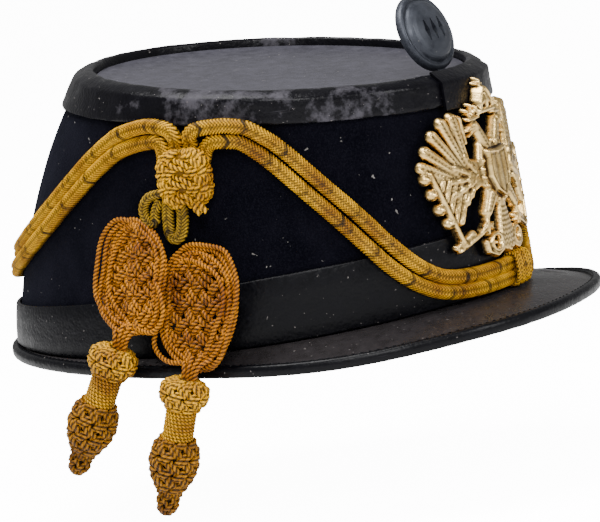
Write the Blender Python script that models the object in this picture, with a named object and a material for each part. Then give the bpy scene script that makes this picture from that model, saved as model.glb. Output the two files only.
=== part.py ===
"""A shako hat with a braided cord, two tassels, a pierced eagle badge and a cockade.

Blender 4.5. Metres, +Z up, the hat's front towards -Y and the wearer's right towards -X.
The origin is the middle of the head opening, level with the seam between crown and brim.
The tables and sizes below are in millimetres and degrees, and placed() turns them into metres.

A place on the crown's wall is told by an angle round the hat (0 front, -90 the wearer's right,
180 rear), a rise (0 at the seam, 1 at the top edge) and a distance out from the felt.
"""
import bpy
import bmesh
from math import atan2, cos, degrees, hypot, pi, radians, sin
from mathutils import Matrix, Vector

MM = 0.001
SECTORS = 36
STEP = 360 / SECTORS
GAP = 0.3

# The crown's wall: half length, half width and middle of its outline at the seam and at the top
SEAM_OUTLINE = {"half_length": 98.7, "half_width": 74.5, "middle": 1.5}
TOP_OUTLINE = {"half_length": 74.5, "half_width": 69.0, "middle": -19.1}
CROWN_HEIGHT = 91.0
TOP_SLOPE = 0.13
WALL_CURVE = 1.5
SIDE_SAG = 3.7

FELT = 2.5
LEATHER = 1.5
FELT_TOP_RISE = 0.952

# Leather on the crown
CROWN_BAND_RISE = 0.863
SHOULDER_RISE = 0.972
RIDGE_OUT = (-2.6, -4.6)
INNER_LEG_DEPTH = 6.5
TOP_RECESS = 4.0
TOP_THICK = 2.2
BASE_BAND_HEIGHT = {"middle": 19.3, "front_extra": 5.1}
TAB_HALF_ANGLE = 17.5
TAB_BOTTOM_RISE = 0.845
TAB_THICK = 1.2

# The brim: how far its edge reaches out of the wall and how low the edging's bottom lies
BRIM_COLUMNS = ("angle", "reach", "bottom")
BRIM_TABLE = (
    (0, 28.0, -9.5),
    (30, 31.0, -9.9),
    (60, 25.5, -12.2),
    (90, 13.5, -10.0),
    (120, 7.2, -7.5),
    (150, 4.6, -5.7),
    (180, 3.4, -4.8),
)
BRIM_THICK = 2.2
BRIM_FLANGE = 2.2
EDGING_WIDTH = 3.4
EDGING_HEIGHT = 4.6

# Cords: half width along the wall, half depth, and half the distance between the two of a pair
CORD_HALF_WIDTH = 2.7
CORD_HALF_DEPTH = 2.1
PAIR_HALF_SPACING = 2.95
CORD_CLEARANCE = 0.45
CORD_SIDES = 6
MM_PER_DEGREE = 1.38

# Middle line of the pair of cords, from the side knot outwards: angle and rise
RIGHT_FRONT_ROUTE = (
    (-83.2, 0.834), (-78.9, 0.836), (-74.3, 0.820), (-66.4, 0.728), (-57.2, 0.578), (-47.8, 0.409),
    (-40.6, 0.260), (-34.2, 0.158), (-27.6, 0.100), (-18.0, 0.078), (-4.6, 0.075),
)
LEFT_FRONT_ROUTE = (
    (83.2, 0.834), (78.9, 0.832), (70.0, 0.785), (58.0, 0.700), (46.0, 0.610), (36.0, 0.500),
    (30.0, 0.380), (26.5, 0.270), (23.5, 0.170), (18.5, 0.098), (11.0, 0.075), (4.6, 0.075),
)
REAR_ROUTE = (
    (-100.6, 0.831), (-106.2, 0.811), (-111.8, 0.772), (-118.1, 0.692), (-124.7, 0.593),
    (-132.6, 0.488), (-141.5, 0.399), (-150.6, 0.331), (-164.0, 0.275), (-180.0, 0.258),
)
# How each cord dips into the knot on the wearer's right; the left button has the same
FRONT_UPPER_ENTRY = ((-88.9, 0.790), (-89.3, 0.822), (-88.0, 0.852))
FRONT_LOWER_ENTRY = ()
REAR_UPPER_ENTRY = ((-92.9, 0.790), (-93.4, 0.822), (-95.6, 0.852))
REAR_LOWER_ENTRY = ((-97.9, 0.797),)

# Rounded pieces of cord work: middle, half sizes, and turns about X, Y and Z
BLOCK_COLUMNS = ("middle", "half", "turn", "square")
BLOCKS = {
    "side_knot": ((-77.1, -13.2, 61.0), (4.2, 10.0, 10.3), (0, 0, 0), 0.45),
    "left_button": ((76.6, -13.2, 61.0), (3.6, 10.0, 10.0), (0, 0, 0), 0.8),
    "loop_left": ((-77.3, 0.6, 52.0), (2.6, 4.5, 6.4), (0, 0, 0), 0.7),
    "loop_right": ((-77.3, -10.0, 44.7), (3.0, 6.0, 5.6), (0, 0, 0), 0.7),
    "flounder_left": ((-83.9, 12.0, 27.6), (3.2, 16.2, 22.4), (0, 16.5, -13.5), 0.9),
    "flounder_right": ((-87.0, -14.5, 15.2), (3.2, 17.0, 24.4), (0, 18.0, -7.0), 0.9),
}
KEEPER_HALF_ANGLE = 4.2
KEEPER_SPAN = (0.3, 12.0)
KEEPER_OUT = (2.2, 8.2)

# A tassel's outline: distance from its top and radius
TASSEL_OUTLINE = (
    (0.0, 3.5), (2.0, 8.0), (5.5, 9.5), (9.0, 8.2), (10.8, 6.3), (22.0, 5.8),
    (24.5, 7.6), (29.5, 9.2), (36.0, 8.4), (42.0, 5.4), (44.0, 4.4), (48.0, 4.6), (51.0, 2.4),
)
TASSEL_SIDES = 12
TASSELS = {
    "tassel_left": {"top": (-92.6, 17.6, 5.6), "tip": (-92.6, 42.0, -39.2)},
    "tassel_right": {"top": (-98.9, -11.0, -8.5), "tip": (-98.9, 5.8, -56.7)},
}

# The cockade: outline of its half section, distance from the middle and height over its back
COCKADE_MIDDLE = (0.0, -79.6, 95.8)
COCKADE_FACING = (-0.17, -0.935, 0.312)
COCKADE_SECTION = (
    (0.0, 3.2), (9.0, 2.6), (11.0, 0.6), (12.2, 0.4), (13.0, -0.8), (14.9, -0.8),
    (14.9, 1.2), (13.6, 2.2), (12.3, 1.8), (11.6, 2.1), (9.6, 4.6), (0.0, 5.0),
)
COCKADE_SIDES = 24
LOZENGE = {"spacing": 4.4, "half_width": 1.1, "half_height": 4.2}
STEM = {"half_width": 2.4, "thick": 1.4}

# The badge: its middle's angle, the height of its foot, and its standing off the felt
BADGE = {"angle": -3.5, "foot": 12.6, "stand_off": 3.7, "radius": 80.0}
# Plates of the badge's wearer's-right half, u across and v up, with the relief's height.
BADGE_PLATES = (
    ("body", 3.0, ((-0.5, 17), (7, 21), (10.5, 28), (11, 36), (8.5, 43), (-0.5, 46))),
    ("shield", 5.2, ((-0.7, 20.5), (5, 23.5), (8.3, 29.5), (8.3, 40), (4, 41.2), (-0.7, 40.4))),
    ("neck", 3.2, ((0.8, 42), (8, 42), (10.5, 46), (9.6, 51), (5, 53), (0.8, 50))),
    ("beak", 2.6, ((8.5, 46.5), (12, 44.6), (16, 44.8), (12.8, 47.8), (9.5, 50))),
    ("small_crown", 2.6, ((4.8, 51.5), (10.4, 50.2), (13.4, 55.2), (9.6, 54.2), (8, 57.4), (5.6, 54.6))),
    ("mitre", 4.0, ((-0.8, 52.5), (6.2, 53), (6.8, 57.2), (4.2, 61.4), (-0.8, 62.8))),
    ("coverts", 2.8, ((9, 27), (10, 37.5), (14.5, 38), (18, 42.5), (24.5, 36), (33, 33), (24.5, 16), (19, 25))),
    ("leg", 3.4, ((4, 20.5), (9.5, 23), (15.5, 15.5), (13, 10.5), (8.4, 12.6))),
    ("sword", 2.4, ((8.2, 12.8), (10.2, 10.6), (27, 4.2), (28, 7.2), (12, 14))),
    ("tail", 3.4, ((-0.6, 0.5), (4.6, 1.6), (5.2, 9), (3.6, 19), (-0.6, 19.3))),
    ("scroll", 2.6, ((4.2, 3.2), (8.2, 0.6), (12.6, 3.4), (12.4, 9.4), (9.4, 12), (8.8, 8.8), (9.4, 5.4), (4.8, 6.4))),
)
BADGE_CROSS = ("cross", 2.4, ((-0.9, 62), (0.9, 62), (0.9, 63.4), (2.3, 63.4), (2.3, 64.6),
                              (0.9, 64.6), (0.9, 65.8), (-0.9, 65.8), (-0.9, 64.6), (-2.3, 64.6),
                              (-2.3, 63.4), (-0.9, 63.4)))
FEATHER_ROOT = (15.0, 33.0)
FEATHER_TIPS = ((20.5, 53.5), (26.2, 52.4), (31.2, 48.6), (35.2, 43.6), (37.4, 38.2))
FEATHER_HALF_WIDTH = 2.5
FEATHER_RELIEF = 2.6
WING_BAR = ((35.4, 36.0), (25.2, 9.0), 1.7, 3.2)
ROUNDELS = ((36.4, 34.4), (34.6, 28.4), (32.4, 22.4), (29.8, 16.8))
ROUNDEL_RADIUS = 2.7
ROUNDEL_RELIEF = 2.8

FINISHES = {
    "felt": ((0.010, 0.010, 0.016), 0.95, 0.0),
    "leather": ((0.020, 0.020, 0.026), 0.45, 0.0),
    "dark_metal": ((0.045, 0.050, 0.062), 0.40, 0.8),
    "gilt_brass": ((0.72, 0.50, 0.20), 0.35, 1.0),
    "gold_cord": ((0.55, 0.30, 0.04), 0.70, 0.0),
}


def clear_scene():
    for item in list(bpy.data.objects):
        bpy.data.objects.remove(item, do_unlink=True)


def finish_material(finish, name):
    color, roughness, metallic = FINISHES[finish]
    material = bpy.data.materials.new(name)
    material.use_nodes = True
    shader = material.node_tree.nodes["Principled BSDF"]
    shader.inputs["Base Color"].default_value = (*color, 1.0)
    shader.inputs["Roughness"].default_value = roughness
    shader.inputs["Metallic"].default_value = metallic
    return material


def placed(name, points, faces, finish):
    """A named object from points in millimetres, its faces turned outward."""
    mesh = bpy.data.meshes.new(name)
    mesh.from_pydata([Vector(point) * MM for point in points], [], faces)
    work = bmesh.new()
    work.from_mesh(mesh)
    bmesh.ops.recalc_face_normals(work, faces=work.faces)
    work.to_mesh(mesh)
    work.free()
    mesh.materials.append(finish_material(finish, name))
    item = bpy.data.objects.new(name, mesh)
    bpy.context.scene.collection.objects.link(item)
    return item


def mix(low, high, share):
    return low + (high - low) * share


def smooth(value, low, high):
    share = min(1.0, max(0.0, (value - low) / (high - low)))
    return share * share * (3 - 2 * share)


def wall(angle, rise, out=0.0):
    """A point on the crown's wall, moved out of it level."""
    share = max(rise, 0.0) ** WALL_CURVE
    half_length = mix(SEAM_OUTLINE["half_length"], TOP_OUTLINE["half_length"], share) + out
    half_width = mix(SEAM_OUTLINE["half_width"], TOP_OUTLINE["half_width"], share) + out
    middle = mix(SEAM_OUTLINE["middle"], TOP_OUTLINE["middle"], share)
    turn = radians(angle)
    x = half_width * sin(turn)
    y = middle - half_length * cos(turn)
    sag = SIDE_SAG * sin(turn) ** 2 * max(0.0, 1 - 2 * rise)
    z = rise * (CROWN_HEIGHT + TOP_SLOPE * (y - TOP_OUTLINE["middle"])) - sag
    return Vector((x, y, z))


def rise_at(angle, height):
    """The rise at which the wall has this height."""
    low, high = 0.0, 1.0
    for _ in range(20):
        middle = (low + high) / 2
        if wall(angle, middle).z < height:
            low = middle
        else:
            high = middle
    return low


def base_band_top(angle):
    return BASE_BAND_HEIGHT["middle"] + BASE_BAND_HEIGHT["front_extra"] * cos(radians(angle))


def ring(name, section, finish, sectors=SECTORS):
    """A closed ring round the hat from one closed section at each angle."""
    sections = [section(number * 360 / sectors) for number in range(sectors)]
    size = len(sections[0])
    points = [point for each in sections for point in each]
    faces = []
    for number in range(sectors):
        here, there = number * size, (number + 1) % sectors * size
        for edge in range(size):
            after = (edge + 1) % size
            faces.append((here + edge, here + after, there + after, there + edge))
    return placed(name, points, faces, finish)


def loft(name, sections, finish):
    """A closed solid through open rows of equal rings, capped at both ends."""
    size = len(sections[0])
    points = [point for each in sections for point in each]
    faces = [tuple(range(size)), tuple(range(len(points) - size, len(points)))]
    for row in range(len(sections) - 1):
        for edge in range(size):
            after = (edge + 1) % size
            low, high = row * size, (row + 1) * size
            faces.append((low + edge, low + after, high + after, high + edge))
    return placed(name, points, faces, finish)


def build_crown_shell():
    rises = (0.0, 0.14, 0.28, 0.44, 0.60, 0.76, FELT_TOP_RISE)

    def section(angle):
        outside = [wall(angle, rise) for rise in rises]
        inside = [wall(angle, rise, -FELT) for rise in reversed(rises)]
        return outside + inside
    ring("crown_shell", section, "felt")


def build_crown_band():
    def section(angle):
        up = lambda rise, out, lift=0.0: wall(angle, rise, out) + Vector((0, 0, lift))
        inner_leg = RIDGE_OUT[1] - 0.1
        return [
            up(CROWN_BAND_RISE, GAP), up(CROWN_BAND_RISE, GAP + LEATHER),
            up(SHOULDER_RISE - 0.03, GAP + LEATHER), up(SHOULDER_RISE, GAP + LEATHER),
            up(1.0, RIDGE_OUT[0]), up(1.0, RIDGE_OUT[1]),
            up(1.0, inner_leg, -INNER_LEG_DEPTH), up(1.0, inner_leg + 1.6, -INNER_LEG_DEPTH),
            up(1.0, inner_leg + 1.8, -3.4), up(0.957, GAP),
        ]
    ring("crown_band", section, "leather")


def build_top_disc():
    """The leather top, lying a little below the ridge of the crown band."""
    out = RIDGE_OUT[1] - 0.1 - GAP - 0.1
    rims = []
    for lift in (-TOP_RECESS - TOP_THICK, -TOP_RECESS):
        rims.append([wall(number * STEP, 1.0, out) + Vector((0, 0, lift)) for number in range(SECTORS)])
    loft("top_disc", rims, "leather")


def build_base_band():
    def section(angle):
        top = rise_at(angle, base_band_top(angle))
        foot = Vector((0, 0, 0.1))
        return [wall(angle, 0.0, GAP) + foot, wall(angle, 0.0, GAP + LEATHER) + foot,
                wall(angle, top / 2, GAP + LEATHER), wall(angle, top, GAP + LEATHER),
                wall(angle, top, GAP), wall(angle, top / 2, GAP)]
    ring("base_band", section, "leather")


def brim_row(angle):
    """Reach and bottom of the brim's edge, eased between the table's rows."""
    turned = abs((angle + 180) % 360 - 180)
    index = min(int(turned // 30), len(BRIM_TABLE) - 2)
    rows = [BRIM_TABLE[abs(index - 1)], BRIM_TABLE[index], BRIM_TABLE[index + 1],
            BRIM_TABLE[index + 2 if index + 2 < len(BRIM_TABLE) else index]]
    share = (turned - rows[1][0]) / 30

    def ease(column):
        before, here, there, beyond = (row[column] for row in rows)
        return here + 0.5 * share * (there - before + share * (
            2 * before - 5 * here + 4 * there - beyond + share * (3 * (here - there) + beyond - before)))
    return ease(BRIM_COLUMNS.index("reach")), ease(BRIM_COLUMNS.index("bottom"))


def brim_point(angle, out, height):
    point = wall(angle, 0.0, out)
    return Vector((point.x, point.y, height))


def brim_section(angle):
    reach, bottom = brim_row(angle)
    edge = reach - EDGING_WIDTH - GAP
    flange = min(BRIM_FLANGE, edge - 0.4)
    seam = wall(angle, 0.0).z - GAP
    end = bottom + (EDGING_HEIGHT + BRIM_THICK) / 2
    outs = (-FELT, flange, mix(flange, edge, 0.35), mix(flange, edge, 0.7), edge)
    sink = min(0.0, end - seam)
    tops = (seam, seam, seam + sink * 0.28, seam + sink * 0.66, seam + sink)
    top = [brim_point(angle, out, height) for out, height in zip(outs, tops)]
    under = [point - Vector((0, 0, BRIM_THICK)) for point in reversed(top)]
    return top + under


def edging_section(angle):
    reach, bottom = brim_row(angle)
    inner = reach - EDGING_WIDTH
    round_in = EDGING_HEIGHT * 0.28
    top = bottom + EDGING_HEIGHT
    corners = (
        (inner, bottom + 0.7), (inner + 0.9, bottom), (reach - 0.9, bottom), (reach, bottom + round_in),
        (reach, top - round_in), (reach - 0.9, top), (inner + 0.9, top), (inner, top - 0.7),
    )
    return [brim_point(angle, out, height) for out, height in corners]


def build_front_tab():
    """The leather tab over the crown band's front, bent in over the ridge."""
    inner = GAP + LEATHER + GAP
    rows = []
    steps = 10
    for number in range(steps + 1):
        angle = mix(-TAB_HALF_ANGLE, TAB_HALF_ANGLE, number / steps)
        lifted = Vector((0, 0, GAP + 0.1))
        rows.append([
            wall(angle, TAB_BOTTOM_RISE, inner), wall(angle, SHOULDER_RISE, inner + 0.1),
            wall(angle, 1.0, RIDGE_OUT[0] + 0.4) + lifted,
            wall(angle, 1.0, RIDGE_OUT[0] + 0.8) + lifted + Vector((0, 0, TAB_THICK)),
            wall(angle, SHOULDER_RISE + 0.004, inner + TAB_THICK + 0.2),
            wall(angle, TAB_BOTTOM_RISE, inner + TAB_THICK),
        ])
    loft("front_tab", rows, "leather")


def cord_lift(angle, rise):
    """How far a cord's middle stands out of the felt, over the leather bands."""
    height = wall(angle, rise).z
    over_crown_band = smooth(rise, 0.79, 0.835)
    over_base_band = 1 - smooth(height, base_band_top(angle) + 1.5, base_band_top(angle) + 7)
    cover = (GAP + LEATHER) * max(over_crown_band, over_base_band)
    return CORD_HALF_DEPTH + CORD_CLEARANCE + cover


def beside(route, shift):
    """The route moved sideways on the wall, positive towards the top."""
    moved = []
    for index, (angle, rise) in enumerate(route):
        before, after = route[max(index - 1, 0)], route[min(index + 1, len(route) - 1)]
        across = (after[0] - before[0]) * MM_PER_DEGREE
        up = (after[1] - before[1]) * CROWN_HEIGHT
        length = hypot(across, up)
        side = 1 if across >= 0 else -1
        moved.append((angle - side * shift * up / length / MM_PER_DEGREE,
                      rise + side * shift * across / length / CROWN_HEIGHT))
    return moved


def mirrored(route, middle=0.0):
    return [(2 * middle - angle, rise) for angle, rise in route]


def eased(route, steps=3):
    """More points between those of a route, on a smooth curve through them."""
    fine = []
    for index in range(len(route) - 1):
        before, here = route[max(index - 1, 0)], route[index]
        there, beyond = route[index + 1], route[min(index + 2, len(route) - 1)]
        for number in range(steps):
            share = number / steps
            fine.append(tuple(
                h + 0.5 * share * (t - b + share * (2 * b - 5 * h + 4 * t - e + share * (3 * (h - t) + e - b)))
                for b, h, t, e in zip(before, here, there, beyond)))
    return fine + [route[-1]]


def build_cord(name, route, steps):
    """A flat cord of oval section along a route on the wall."""
    centres = [(angle, rise, cord_lift(angle, rise)) for angle, rise in eased(route, steps)]
    points = [wall(*place) for place in centres]
    sections = []
    for index, (angle, rise, out) in enumerate(centres):
        along = (points[min(index + 1, len(points) - 1)] - points[max(index - 1, 0)]).normalized()
        outward = (wall(angle, rise, out + 1) - points[index]).normalized()
        across = along.cross(outward).normalized()
        outward = across.cross(along)
        oval = [across * CORD_HALF_WIDTH * cos(turn) + outward * CORD_HALF_DEPTH * sin(turn)
                for turn in (2 * pi * (corner + 0.5) / CORD_SIDES for corner in range(CORD_SIDES))]
        sections.append([points[index] + spoke for spoke in oval])
    loft(name, sections, "gold_cord")


def build_cords():
    for side, route in (("right", RIGHT_FRONT_ROUTE), ("left", LEFT_FRONT_ROUTE)):
        upper, lower = list(FRONT_UPPER_ENTRY), list(FRONT_LOWER_ENTRY)
        if side == "left":
            upper, lower = mirrored(upper), mirrored(lower)
        build_cord(f"cord_{side}_upper", upper + beside(route, PAIR_HALF_SPACING), 2)
        build_cord(f"cord_{side}_lower", lower + beside(route, -PAIR_HALF_SPACING), 2)
    whole = list(REAR_ROUTE) + mirrored(REAR_ROUTE[:-1], -180)[::-1]
    for level, entry, shift in (("upper", REAR_UPPER_ENTRY, 1), ("lower", REAR_LOWER_ENTRY, -1)):
        far_entry = mirrored(entry, -180)[::-1]
        route = list(entry) + beside(whole, shift * PAIR_HALF_SPACING) + far_entry
        build_cord(f"cord_rear_{level}", route, 2)


def build_keeper():
    """The braided band that holds both cords together at the front."""
    low, high = KEEPER_SPAN
    near, far = KEEPER_OUT
    rows = []
    for share, shrink in ((-1, 0.8), (-0.7, 0.0), (0.7, 0.0), (1, 0.8)):
        angle = KEEPER_HALF_ANGLE * share
        corners = ((near, low + 1), (near + 1.2, low + shrink), (far - 1.4 - shrink, low + shrink),
                   (far - shrink, low + 2), (far - shrink, high - 2), (far - 1.4 - shrink, high - shrink),
                   (near + 1.2, high - shrink), (near, high - 1))
        rows.append([wall(angle, rise_at(angle, height), out) for out, height in corners])
    loft("front_keeper", rows, "gold_cord")


def build_block(name):
    """A rounded block; the square value runs from 0, a box, to 1, an ellipsoid."""
    middle, half, turn, square = BLOCKS[name]
    spin = Matrix.Rotation(radians(turn[2]), 3, "Z") @ Matrix.Rotation(radians(turn[1]), 3, "Y")
    power = lambda value: abs(value) ** square * (1 if value > 0 else -1)
    around, levels = 12, 8
    rows = []
    for level in range(levels):
        tilt = radians(mix(-78, 78, level / (levels - 1)))
        row = []
        for number in range(around):
            turned = 2 * pi * (number + 0.5) / around
            local = Vector((half[0] * power(cos(turned)) * power(cos(tilt)),
                            half[1] * power(sin(turned)) * power(cos(tilt)),
                            half[2] * power(sin(tilt)) / power(sin(radians(78)))))
            row.append(Vector(middle) + spin @ local)
        rows.append(row)
    loft(name, rows, "gold_cord")


def build_tassel(name):
    """Ring knot, wrapped neck, woven acorn and its tip, turned about one line."""
    top, tip = (Vector(TASSELS[name][end]) for end in ("top", "tip"))
    line = (tip - top).normalized()
    across = line.cross(Vector((1, 0, 0))).normalized()
    deep = line.cross(across)
    rows = []
    for distance, radius in TASSEL_OUTLINE:
        centre = top + line * distance
        rows.append([centre + (across * cos(turn) + deep * sin(turn)) * radius
                     for turn in (2 * pi * number / TASSEL_SIDES for number in range(TASSEL_SIDES))])
    loft(name, rows, "gold_cord")


def cockade_frame():
    """Axes of the cockade: to its side, up along its face and out of its face."""
    facing = Vector(COCKADE_FACING).normalized()
    side = facing.cross(Vector((0, 0, 1))).normalized()
    upward = side.cross(facing)
    return Matrix((side, upward, facing)).transposed()


def build_cockade():
    """A turned disc with a raised rim and dome, pierced by three lozenges, on a flat stem."""
    frame, middle = cockade_frame(), Vector(COCKADE_MIDDLE)
    local = lambda x, y, z: middle + frame @ Vector((x, y, z))
    points = [local(0, 0, COCKADE_SECTION[0][1]), local(0, 0, COCKADE_SECTION[-1][1])]
    faces = []
    rims = COCKADE_SECTION[1:-1]
    for radius, height in rims:
        for number in range(COCKADE_SIDES):
            turn = 2 * pi * (number + 0.37) / COCKADE_SIDES
            points.append(local(radius * cos(turn), radius * sin(turn), height))
    for number in range(COCKADE_SIDES):
        after = (number + 1) % COCKADE_SIDES
        faces.append((0, 2 + number, 2 + after))
        last = 2 + (len(rims) - 1) * COCKADE_SIDES
        faces.append((1, last + after, last + number))
        for rim in range(len(rims) - 1):
            low, high = 2 + rim * COCKADE_SIDES, 2 + (rim + 1) * COCKADE_SIDES
            faces.append((low + number, high + number, high + after, low + after))
    disc = placed("cockade", points, faces, "dark_metal")
    for number in (-1, 0, 1):
        shift = number * LOZENGE["spacing"]
        outline = ((shift - LOZENGE["half_width"], 0), (shift, -LOZENGE["half_height"]),
                   (shift + LOZENGE["half_width"], 0), (shift, LOZENGE["half_height"]))
        rows = [[local(x, y, height) for x, y in outline] for height in (1.0, 7.0)]
        combine(disc, loft(f"cut_{number}", rows, "dark_metal"), "DIFFERENCE")
    foot = wall(0, 1.0, RIDGE_OUT[1] - 5).z - TOP_RECESS + GAP + 0.6
    width, thick = STEM["half_width"], STEM["thick"]
    top_row = [local(x, -13.6, z) for x, z in ((-width, -0.4), (width, -0.4), (width, -0.4 + thick), (-width, -0.4 + thick))]
    drop = top_row[0].z - foot
    slide = frame @ Vector((0, -1, 0))
    low_row = [point + slide * (drop / -slide.z) for point in top_row]
    combine(disc, loft("stem", [top_row, low_row], "dark_metal"), "UNION")


def combine(item, tool, operation):
    """Boolean the tool into the item and drop the tool."""
    modifier = item.modifiers.new(operation, "BOOLEAN")
    modifier.operation = operation
    modifier.object = tool
    bake(item)
    bpy.data.objects.remove(tool, do_unlink=True)


def bake(item):
    """Replace the item's mesh by what its modifiers make of it."""
    graph = bpy.context.evaluated_depsgraph_get()
    mesh = bpy.data.meshes.new_from_object(item.evaluated_get(graph))
    item.modifiers.clear()
    item.data = mesh


def capsule(start, end, half_width, end_half_width=None, rounds=2):
    """Outline of a rounded bar from start to end, in the badge's flat coordinates."""
    far = half_width if end_half_width is None else end_half_width
    heading = atan2(end[1] - start[1], end[0] - start[0])
    outline = []
    for centre, radius, turn in ((end, far, heading - pi / 2), (start, half_width, heading + pi / 2)):
        for number in range(rounds + 1):
            here = turn + pi * number / rounds
            outline.append((centre[0] + radius * cos(here), centre[1] + radius * sin(here)))
    return outline


def badge_outlines():
    """Name, relief and outline of every plate, for both halves."""
    half = list(BADGE_PLATES)
    for number, tip in enumerate(FEATHER_TIPS):
        half.append((f"feather_{number}", FEATHER_RELIEF - 0.08 * number,
                     capsule(FEATHER_ROOT, tip, 1.2, FEATHER_HALF_WIDTH)))
    start, end, width, relief = WING_BAR
    half.append(("wing_bar", relief, capsule(start, end, width)))
    for number, place in enumerate(ROUNDELS):
        outline = [(place[0] + ROUNDEL_RADIUS * cos(pi * corner / 4), place[1] + ROUNDEL_RADIUS * sin(pi * corner / 4))
                   for corner in range(8)]
        half.append((f"roundel_{number}", ROUNDEL_RELIEF - 0.06 * number, outline))
    whole = [BADGE_CROSS]
    for name, relief, outline in half:
        whole.append((name, relief, [(-u, v) for u, v in outline]))
        whole.append((name, relief + 0.03, list(outline)))
    return whole


def build_badge():
    """Flat plates of different relief fused into one casting, then bent round the wall."""
    badge = None
    for number, (name, relief, outline) in enumerate(badge_outlines()):
        centre = [sum(point[axis] for point in outline) / len(outline) for axis in (0, 1)]
        inset = [(mix(u, centre[0], 0.12), mix(v, centre[1], 0.12)) for u, v in outline]
        back = -0.03 * (number % 11)
        rows = [[(u, v, back) for u, v in outline], [(u, v, relief * 0.6) for u, v in outline],
                [(u, v, relief) for u, v in inset]]
        plate = loft(f"plate_{name}_{number}", rows, "gilt_brass")
        if badge is None:
            badge = plate
            badge.name = "eagle_badge"
        else:
            combine(badge, plate, "UNION")
    work = bmesh.new()
    work.from_mesh(badge.data)
    bmesh.ops.triangulate(work, faces=work.faces)
    for corner in work.verts:
        u, v, relief = corner.co / MM
        angle = BADGE["angle"] + degrees(u / BADGE["radius"])
        rise = rise_at(angle, BADGE["foot"] + v)
        corner.co = wall(angle, rise, BADGE["stand_off"] + relief) * MM
    work.to_mesh(badge.data)
    work.free()


def main():
    clear_scene()
    build_crown_shell()
    build_crown_band()
    build_top_disc()
    build_base_band()
    ring("peak", brim_section, "leather")
    ring("peak_edging", edging_section, "leather")
    build_front_tab()
    build_cords()
    build_keeper()
    for name in BLOCKS:
        build_block(name)
    for name in TASSELS:
        build_tassel(name)
    build_cockade()
    build_badge()


main()
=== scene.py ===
"""The looks of a shako hat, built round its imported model.

Metres, +Z up, the hat's front towards -Y and the wearer's right towards -X. Tables and sizes are in
millimetres and degrees unless they say metres, and every mesh is turned into metres when it is made.
A place on the crown's wall is an angle round the hat (0 front, -90 the wearer's right, 180 rear), a
rise (0 at the seam, 1 at the top edge) and a distance out from the felt.
"""

from math import cos, pi, radians, sin, sqrt

import bpy
import numpy as np
from mathutils import Matrix, Vector


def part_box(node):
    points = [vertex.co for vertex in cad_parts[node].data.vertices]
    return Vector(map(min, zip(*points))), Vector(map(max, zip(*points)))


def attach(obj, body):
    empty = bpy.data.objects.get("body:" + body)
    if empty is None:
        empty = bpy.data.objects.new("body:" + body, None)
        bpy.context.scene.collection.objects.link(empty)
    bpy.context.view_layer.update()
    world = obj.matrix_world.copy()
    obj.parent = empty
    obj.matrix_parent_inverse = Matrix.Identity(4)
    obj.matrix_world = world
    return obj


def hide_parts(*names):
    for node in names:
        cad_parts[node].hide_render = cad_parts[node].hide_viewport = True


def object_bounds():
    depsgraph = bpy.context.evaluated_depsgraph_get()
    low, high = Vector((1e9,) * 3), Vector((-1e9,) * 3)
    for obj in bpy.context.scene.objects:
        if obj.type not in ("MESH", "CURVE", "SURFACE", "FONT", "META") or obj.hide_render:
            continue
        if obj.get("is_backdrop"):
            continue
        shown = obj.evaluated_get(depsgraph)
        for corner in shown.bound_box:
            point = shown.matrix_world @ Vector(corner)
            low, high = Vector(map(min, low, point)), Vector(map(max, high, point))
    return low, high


MM = 0.001

# The crown's wall, as the solids have it
SEAM_OUTLINE = {"half_length": 98.7, "half_width": 74.5, "middle": 1.5}
TOP_OUTLINE = {"half_length": 74.5, "half_width": 69.0, "middle": -19.1}
CROWN_HEIGHT = 91.0
TOP_SLOPE = 0.13
WALL_CURVE = 1.5
SIDE_SAG = 3.7
FELT = 2.5
LEATHER = 1.5
GAP = 0.3
BAND_FACE = GAP + LEATHER
ROUND_STEPS = 240

CROWN_BAND_RISE = 0.863
SHOULDER_RISE = 0.972
TOP_RECESS = 4.0
BASE_BAND_HEIGHT = {"middle": 19.3, "front_extra": 5.1}
TAB_HALF_ANGLE = 17.5
TAB_BOTTOM_RISE = 0.845
TAB_OUT = 2.1
TAB_THICK = 1.2
TAB_FACE = TAB_OUT + TAB_THICK

# Sections of the leather bands, a row for each corner: rise, distance out and lift.
# The base band's rises are shares of its own height.
CROWN_BAND_SECTION = (
    (CROWN_BAND_RISE, GAP, 0.0), (CROWN_BAND_RISE, BAND_FACE, 0.0), (0.90, BAND_FACE, 0.0),
    (0.94, BAND_FACE, 0.0), (SHOULDER_RISE, BAND_FACE, 0.0), (0.990, -0.6, 0.2), (1.0, -2.6, 0.0),
    (1.0, -4.6, 0.0), (1.0, -4.7, -6.5), (1.0, -3.1, -6.5), (1.0, -2.9, -3.4), (0.957, GAP, 0.0),
)
BASE_BAND_SECTION = (
    (0.0, GAP, 0.1), (0.0, BAND_FACE, 0.1), (0.33, BAND_FACE, 0.0), (0.66, BAND_FACE, 0.0),
    (1.0, BAND_FACE, 0.0), (1.0, GAP, 0.0), (0.5, GAP, 0.0),
)
TAB_SECTION = (
    (TAB_BOTTOM_RISE, TAB_OUT, 0.0), (0.91, TAB_OUT, 0.0), (SHOULDER_RISE, TAB_OUT + 0.1, 0.0),
    (1.0, -2.2, 0.4), (1.0, -1.8, 0.4 + TAB_THICK), (SHOULDER_RISE + 0.004, TAB_FACE + 0.2, 0.0),
    (0.91, TAB_FACE, 0.0), (TAB_BOTTOM_RISE, TAB_FACE, 0.0),
)

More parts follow.
